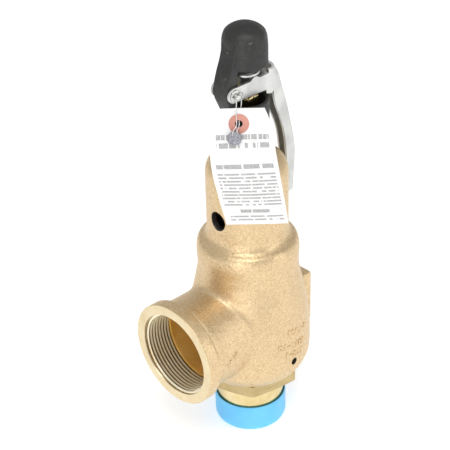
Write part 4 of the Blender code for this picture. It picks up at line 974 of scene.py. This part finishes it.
def make_pivot():
    pin = lathe("lever_pin", [(0, -1.6), (2.6, -1.5, 0.6), (3.9, -0.7, 0.4), (3.9, 0, 0.2), (2.2, 0),
        (2.2, 26.1, 0.5), (1.6, 26.4), (0, 26.5)], 48)
    place(pin, along_x(-11))
    cut(pin, bar("hole", 0.8, (12.4, PIVOT.y - 4, PIVOT.z), (12.4, PIVOT.y + 4, PIVOT.z), 20))
    settle(smooth(pin), ZINC, "zinc_steel", "pivot_pin")
    washer = lathe("lever_washer", [(2.5, 0, 0.1), (5, 0, 0.25), (5, 0.9, 0.3), (2.5, 0.9, 0.15)], 48, True)
    settle(place(washer, along_x(10.7)), ZINC, "zinc_steel", "pivot_washer")
    points = []
    for k in range(7):
        points.append(Vector((12.45, PIVOT.y - 3.9 + k * 1.15, PIVOT.z - 0.03 * k)))
    for k in range(1, 13):
        angle = math.radians(180 - 25 * k)
        points.append(Vector((12.45 + 0.03 * k, PIVOT.y + 4.8 + 1.7 * math.cos(angle),
            PIVOT.z - 0.2 + 1.7 * math.sin(angle))))
    cotter = wire_along("cotter", points, 0.55)
    settle(smooth(cotter, 60), STAINLESS, "stainless", "cotter_pin")


make_pivot()


# ---------- stem top, nuts and adjusting screw
def make_nut(name, flats, low, high, bore, turn, material, slot, node, body=VALVE_BODY):
    nut = wrench_bar(name, flats, low, high, turn, 0.9)
    chamfered = [(0, low - 1), (bore + 1.9, low - 1), (bore, low + 0.9), (bore, high - 0.9),
        (bore + 1.9, high + 1), (0, high + 1)]
    cut(nut, lathe("bore", chamfered, 48))
    soften(nut, 0.2 * MM, 2, 25)
    settle(smooth(nut, 30), material, slot, node, body=body)


def make_hardware():
    stem = lathe("spindle", [(0, 116.2), (2.3, 116.2), (4.3, 118.5), (4.3, 175.9), (8, 175.9, 0.4),
        (8, 178.9, 0.4), (4.3, 178.9), (4.3, 358.6, 0.3), (3.1, 359.9, 0.2), (0, 359.9)], 40)
    settle(stem, STAINLESS, "stainless", "stem", body=LIFT_GROUP)
    settle(thread("spindle_thread", 4, 4.6, 1.25, 326, 357.8, 36), STAINLESS, "stainless", body=LIFT_GROUP)
    washer = lathe("lift_washer", [(4.9, 342.8, 0.2), (11.6, 342.8, 0.4), (11.6, 344.8, 0.5), (4.9, 344.8, 0.2)],
        64, True)
    settle(washer, ZINC, "zinc_steel", "lifting_washer", body=LIFT_GROUP)
    make_nut("lift_nut", 15, 345.1, 351.6, 4.9, 10, ZINC, "zinc_steel", "lifting_nut", LIFT_GROUP)
    make_nut("lift_lock_nut", 15, 351.9, 356.4, 4.9, 10, ZINC, "zinc_steel", "lifting_jam_nut", LIFT_GROUP)
    make_nut("screw_lock_nut", 27, 288.3, 298.3, 11.3, 0, MACHINED_BRASS, "machined_brass", "compression_lock_nut")
    screw = lathe("pressure_screw", [(5, 253.7), (9, 253.7), (10.2, 256.7), (10.2, 312), (9.3, 315.5),
        (9.3, 324.5), (6, 324.5), (5, 323.5)], 64, True)
    head = wrench_bar("head", 18.6, 315.5, 324.5, 30, 1)
    cut(head, lathe("core", [(0, 314), (7, 314), (7, 326), (0, 326)], 40))
    join(screw, soften(head, 0.25 * MM, 2, 25))
    settle(smooth(screw, 30), MACHINED_BRASS, "machined_brass", "compression_screw", body="adjusting_screw")
    settle(thread("pressure_screw_thread", 10.2, 11, 1.8, 258.5, 311, 48), MACHINED_BRASS, "machined_brass",
        body="adjusting_screw")


make_hardware()


# ---------- tag
# Rows of (height, out, left, right) in mm from the pivot pin's end.
TAG_ROWS = ((-9.9, -1.72, -15.8, 19.8), (-20.9, 0.48, -22.7, 24.4), (-35.9, 3.28, -23.9, 26.9),
    (-49.9, 5.88, -23.9, 28.9), (-64.9, 8.88, -22.1, 31.3), (-78.9, 10.68, -19.1, 33.5),
    (-92.9, 11.68, -15.9, 35.7), (-108.4, 12.28, -12.1, 37.9))
TAG_WIDTH = 50.8
TAG_TOP = -9.9
TAG_LENGTH = 98.5
TAG_COLUMNS = 22
HOLE_PLACE = (-0.6, -22.3)


def tag_rows():
    """Places across each row, and the map position of each, bowed a little as card is."""
    rows = []
    first = [Vector(r) for r in TAG_ROWS[:2]]
    for height, out, left, right in [first[0], *smooth_route([Vector(r) for r in TAG_ROWS[1:]], 4)]:
        middle = (left + right) / 2
        row = []
        for k in range(TAG_COLUMNS + 1):
            across = left + (right - left) * k / TAG_COLUMNS
            edge = (across - middle) / (TAG_WIDTH / 2)
            drop = min(1, max(0, (-height - 30) / 70))
            row.append((tag_place(out + 0.25 - 0.5 * edge * edge * drop + 0.2 * math.sin(3 * edge + height / 16),
                across, height), (0.5 + (across - middle) / TAG_WIDTH, (TAG_TOP - height) / TAG_LENGTH)))
        rows.append(row)
    return rows


def printed_card(name):
    """White card with grey generic print: bars and broken lines that read as nothing."""
    made, tree, place_of = start_material(name, 0, 0.5)
    flat = add(tree, "ShaderNodeSeparateXYZ", {"Vector": add(tree, "ShaderNodeUVMap").outputs["UV"]})
    u, v = flat.outputs["X"], flat.outputs["Y"]

    def inside(value, low, high):
        return times(tree, maths(tree, "GREATER_THAN", value, low), maths(tree, "LESS_THAN", value, high))

    def lines(top, bottom, left, right, count, thick, words, gap):
        """Rows of broken strokes in a field of the card."""
        along = times(tree, minus(tree, v, top), count / (bottom - top))
        row = maths(tree, "FLOOR", along)
        stroke = inside(maths(tree, "FRACT", along), 0.5 - thick / 2, 0.5 + thick / 2)
        at = add(tree, "ShaderNodeCombineXYZ", {"X": times(tree, u, words),
            "Y": times(tree, row, 5.3)}).outputs["Vector"]
        word = maths(tree, "GREATER_THAN", noise(tree, at, 1, 1), gap)
        fine = add(tree, "ShaderNodeCombineXYZ", {"X": times(tree, u, words * 7),
            "Y": times(tree, v, 420)}).outputs["Vector"]
        ink = spread(tree, noise(tree, fine, 1, 1), 0.42, 0.52)
        field = times(tree, inside(v, top, bottom), inside(u, left, right))
        return times(tree, times(tree, stroke, word), times(tree, ink, field))

    fields = ((0.20, 0.34, 0.10, 0.92, 2, 0.62, 26, 0.44), (0.45, 0.51, 0.05, 0.95, 1, 0.62, 14, 0.40),
        (0.53, 0.83, 0.05, 0.96, 10, 0.52, 16, 0.41), (0.85, 0.90, 0.28, 0.74, 1, 0.62, 14, 0.36),
        (0.91, 0.97, 0.10, 0.94, 2, 0.5, 16, 0.40))
    total = lines(*fields[0])
    for field in fields[1:]:
        total = maths(tree, "ADD", total, lines(*field), clamp=True)
    grime = spread(tree, noise(tree, place_of, 55, 3), 0.5, 0.75, 0, 0.35)
    card = blend(tree, grime, (0.82, 0.82, 0.81), (0.72, 0.715, 0.70))
    return finish(made, blend(tree, times(tree, total, 0.88), card, (0.07, 0.07, 0.075)),
        spread(tree, grime, 0, 0.35, 0.42, 0.6), noise(tree, place_of, 900, 2), 0.2, 0.00006)


def plain_card(name, pale, dark, roughness):
    made, tree, at = start_material(name, 0, roughness)
    cloud = noise(tree, at, 80, 3)
    return finish(made, shade(tree, cloud, 0.35, 0.65, pale, dark), spread(tree, cloud, 0.3, 0.7, roughness - 0.06,
        roughness + 0.08), noise(tree, at, 1100, 2), 0.25, 0.00008)


def make_tag():
    rows = tag_rows()
    tag = loft("rating_tag", [[co for co, _ in row] for row in rows])
    places = {}
    for row in rows:
        for co, mapped in row:
            places[tuple(round(c * 1e6) for c in co)] = mapped
    layer = tag.data.uv_layers[0]
    for loop in tag.data.loops:
        co = tag.data.vertices[loop.vertex_index].co
        layer.data[loop.index].uv = places.get(tuple(round(c * 1e6) for c in co), (0.5, 0.5))
    face_out(tag, FACING)
    for material in (printed_card("printed card"), plain_card("plain card", (0.82, 0.82, 0.81),
            (0.74, 0.735, 0.72), 0.5)):
        tag.data.materials.append(material)
    shape(tag, "SOLIDIFY", thickness=0.5 * MM, offset=-1, material_offset=1, material_offset_rim=1)
    across, height = HOLE_PLACE
    hole = bar("hole", 3.1, tag_place(-6, across, height) / MM, tag_place(8, across, height) / MM, 40)
    cut(tag, hole)
    smooth(tag, 40)
    settle(tag, None, "tag_card", "tag")
    slope = math.atan2(2.8, 15)
    salmon = plain_card("salmon patch", (0.62, 0.28, 0.22), (0.54, 0.24, 0.185), 0.6)
    for side, out in (("front", 1.17), ("back", 0.27)):
        patch = lathe("tag_patch_" + side, [(3.1, -0.1), (8.1, -0.1, 0.05), (8.1, 0.12, 0.08), (3.1, 0.12, 0.05)],
            48, True)
        facing = Matrix.Rotation(TAG_TURN, 4, "Z") @ Matrix.Rotation(math.radians(90) - slope, 4, "X")
        place(patch, Matrix.Translation(tag_place(out, across, height)) @ facing)
        settle(patch, salmon, "tag_card")


make_tag()


# ---------- lead seal
def make_seal():
    seal = lathe("seal", [(0, -1.75), (4.4, -1.75, 1), (5.9, -1.2, 0.6), (6.1, 0), (5.9, 1.2, 0.6), (4.4, 1.75, 1),
        (0, 1.75)], 48, segments=3)
    shape(seal, "REMESH", mode="VOXEL", voxel_size=0.3 * MM, use_smooth_shade=True)
    for vert in seal.data.vertices:
        x, y, z = vert.co / MM
        if abs(z) > 0.9:
            die = max(0, 1 - math.hypot(x, y) / 4.6)
            dent = 0.45 * min(1, die * 3) + 0.22 * math.sin(2.6 * x) * math.sin(2.6 * y + 0.5) * min(1, die * 4)
            vert.co.z -= math.copysign(dent * MM, z)
        wobble = 1 - 0.05 * (1 + math.sin(3 * math.atan2(y, x) + 0.7))
        vert.co.x *= wobble
        vert.co.y *= wobble
    shape(seal, "SMOOTH", factor=0.5, iterations=2)
    facing = Matrix.Rotation(TAG_TURN, 4, "Z") @ turned(76, "X")
    place(seal, Matrix.Translation(tag_place(5.7, -4.3, -32.5)) @ facing)
    seal.name = "crimped_seal"
    return settle(seal, LEAD, "lead", "lead_seal")


SEAL = make_seal()


# ---------- nameplate
def make_nameplate():
    outline = [(-15, 83.3, 1.6), (15, 83.3, 1.6), (15, 128.5, 1.6), (-15, 128.5, 1.6)]
    backing = Matrix(((-1, 0, 0, 0), (0, 0, 1, 61.7 * MM), (0, 1, 0, 0), (0, 0, 0, 1)))
    sheet = place(plate("blank_nameplate", outline, 0.8), backing)
    for x, z in sorted(RIVETS):
        cut(sheet, bar("hole", 1.5, (x, 60, z), (x, 64, z), 24))
    cut(sheet, block("panel", (-12.6, 61.85, 91), (12.6, 63, 120.8)))
    for low, high in ((96, 96.5), (101.6, 102.1), (107.2, 107.7), (112.8, 113.3)):
        join(sheet, block("rule", (-11, 61.5, low), (11, 62.05, high)))
    soften(sheet, 0.12 * MM, 1, 50)
    settle(smooth(sheet, 40), PLATE_METAL, "nameplate", "nameplate")
    for number, (x, z) in enumerate(RIVETS, 1):
        screw = lathe("plate_rivet_%d" % number, [(0, -5), (1.4, -5), (1.4, 0.05), (2.3, 0.05, 0.15),
            (2.2, 0.7, 0.4), (1.3, 1.2, 0.5), (0, 1.3)], 32)
        place(screw, moved(x, 62.1, z) @ turned(-90, "X"))
        settle(smooth(screw, 50), STAINLESS, "stainless", "drive_screw_%d" % number)


make_nameplate()


# ---------- stamped marks on the hexagon
def make_stamps():
    """Short shallow punch strokes on one flat of the hexagon: thin dark strips barely proud of it, painted shade
    where the punched grooves are.
    """
    stamps = []
    for k, (wide, tall, lean) in enumerate(((0.5, 2.6, 8), (0.5, 2.6, -14), (0.5, 1.7, 30), (0.5, 2.6, 0),
            (0.5, 1.6, 62), (0.5, 2.6, 0))):
        stroke = block("stamp", (38.55, -wide / 2, -tall / 2), (38.93, wide / 2, tall / 2))
        place(stroke, turned(HEX_TURN - 30, "Z") @ moved(0, -7.4 + 2 * k, 52.6) @ turned(lean, "X"))
        stamps.append(stroke)
    # The strokes' dark brass is painted shade in the punch marks.
    stamped = machined_metal("painted shade in punch strokes", (0.30, 0.20, 0.08), (0.40, 0.28, 0.12), 0.4, (60, 60, 900))
    settle(gather("hexagon_stamps", stamps), stamped, "machined_brass")


make_stamps()


# ---------- main spring
SPRING_R = 20.4
SPRING_WIRE = 3
SPRING_TURNS = 6.5


def make_spring():
    """An open coil with a closed turn at each end, as tall as the CAD spring; the real spring shortens as the stem
    lifts its lower step.
    """
    lowest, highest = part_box("spring")
    low = lowest[2] / MM + SPRING_WIRE
    high = highest[2] / MM - SPRING_WIRE
    closed = 0.75
    step = 1.55 * SPRING_WIRE
    points = []
    for i in range(int(SPRING_TURNS * 24) + 1):
        turn = i / 24
        rise = min(max((turn - closed) / (SPRING_TURNS - 2 * closed), 0), 1)
        start = min(turn / closed, 1) * step
        end = min((SPRING_TURNS - turn) / closed, 1) * step
        height = low + start + (high - low - 3 * step) * rise + (2 * step - end) * rise
        points.append(Vector((SPRING_R * math.cos(math.tau * turn), SPRING_R * math.sin(math.tau * turn),
            min(height, high))))
    coil = wire_along("main_spring", points, SPRING_WIRE)
    settle(smooth(coil, 60), SPRING_FINISH, "spring_steel", "spring")
    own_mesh(coil)


make_spring()

# ---------- inner nodes that keep their CAD shape
CAD_FINISHES = {"disc": STAINLESS, "disc_retaining_clip": STAINLESS, "disc_holder": MACHINED_BRASS,
    "disc_guide": MACHINED_BRASS, "regulator_ring": MACHINED_BRASS, "ring_set_screw": DARK_STEEL_AND_HOLE_SHADE,
    "lower_spring_step": ZINC, "upper_spring_step": ZINC}
for node, material in CAD_FINISHES.items():
    for material_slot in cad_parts[node].material_slots:
        material_slot.material = material


# ---------- floor and light
def make_stage():
    bpy.ops.object.select_all(action="DESELECT")
    bpy.ops.mesh.primitive_plane_add(size=8)
    floor = added("floor")
    made, tree, at = start_material("studio floor", 0, 0.8)
    shader = tree.nodes["Principled BSDF"]
    paper = blend(tree, noise(tree, at, 2, 2), (0.86, 0.86, 0.86), (0.9, 0.9, 0.9))
    tree.links.new(paper, shader.inputs["Base Color"])
    shader.inputs["Emission Color"].default_value = (1, 1, 1, 1)
    shader.inputs["Emission Strength"].default_value = 0.42
    coat(floor, made)
    world = bpy.data.worlds.new("studio")
    world.use_nodes = True
    world.node_tree.nodes["Background"].inputs["Color"].default_value = (1, 1, 1, 1)
    world.node_tree.nodes["Background"].inputs["Strength"].default_value = 0.6
    bpy.context.scene.world = world


def softbox(name, place_at, aim, size, power):
    data = bpy.data.lights.new(name, "AREA")
    data.shape = "RECTANGLE"
    data.size, data.size_y = size
    data.energy = power
    light = bpy.data.objects.new(name, data)
    light.location = place_at
    light.rotation_euler = (Vector(aim) - Vector(place_at)).to_track_quat("-Z", "Y").to_euler()
    bpy.context.scene.collection.objects.link(light)


make_stage()
softbox("key", (0.55, -0.6, 1.5), (0, 0, 0.18), (0.6, 0.6), 8)
softbox("outlet side", (0.75, -1.35, 0.42), (0, -0.06, 0.11), (0.4, 0.6), 4)
softbox("lever side", (1.3, 0.6, 0.6), (0, 0, 0.2), (0.4, 0.9), 3)
bpy.context.scene.view_settings.view_transform = "Standard"
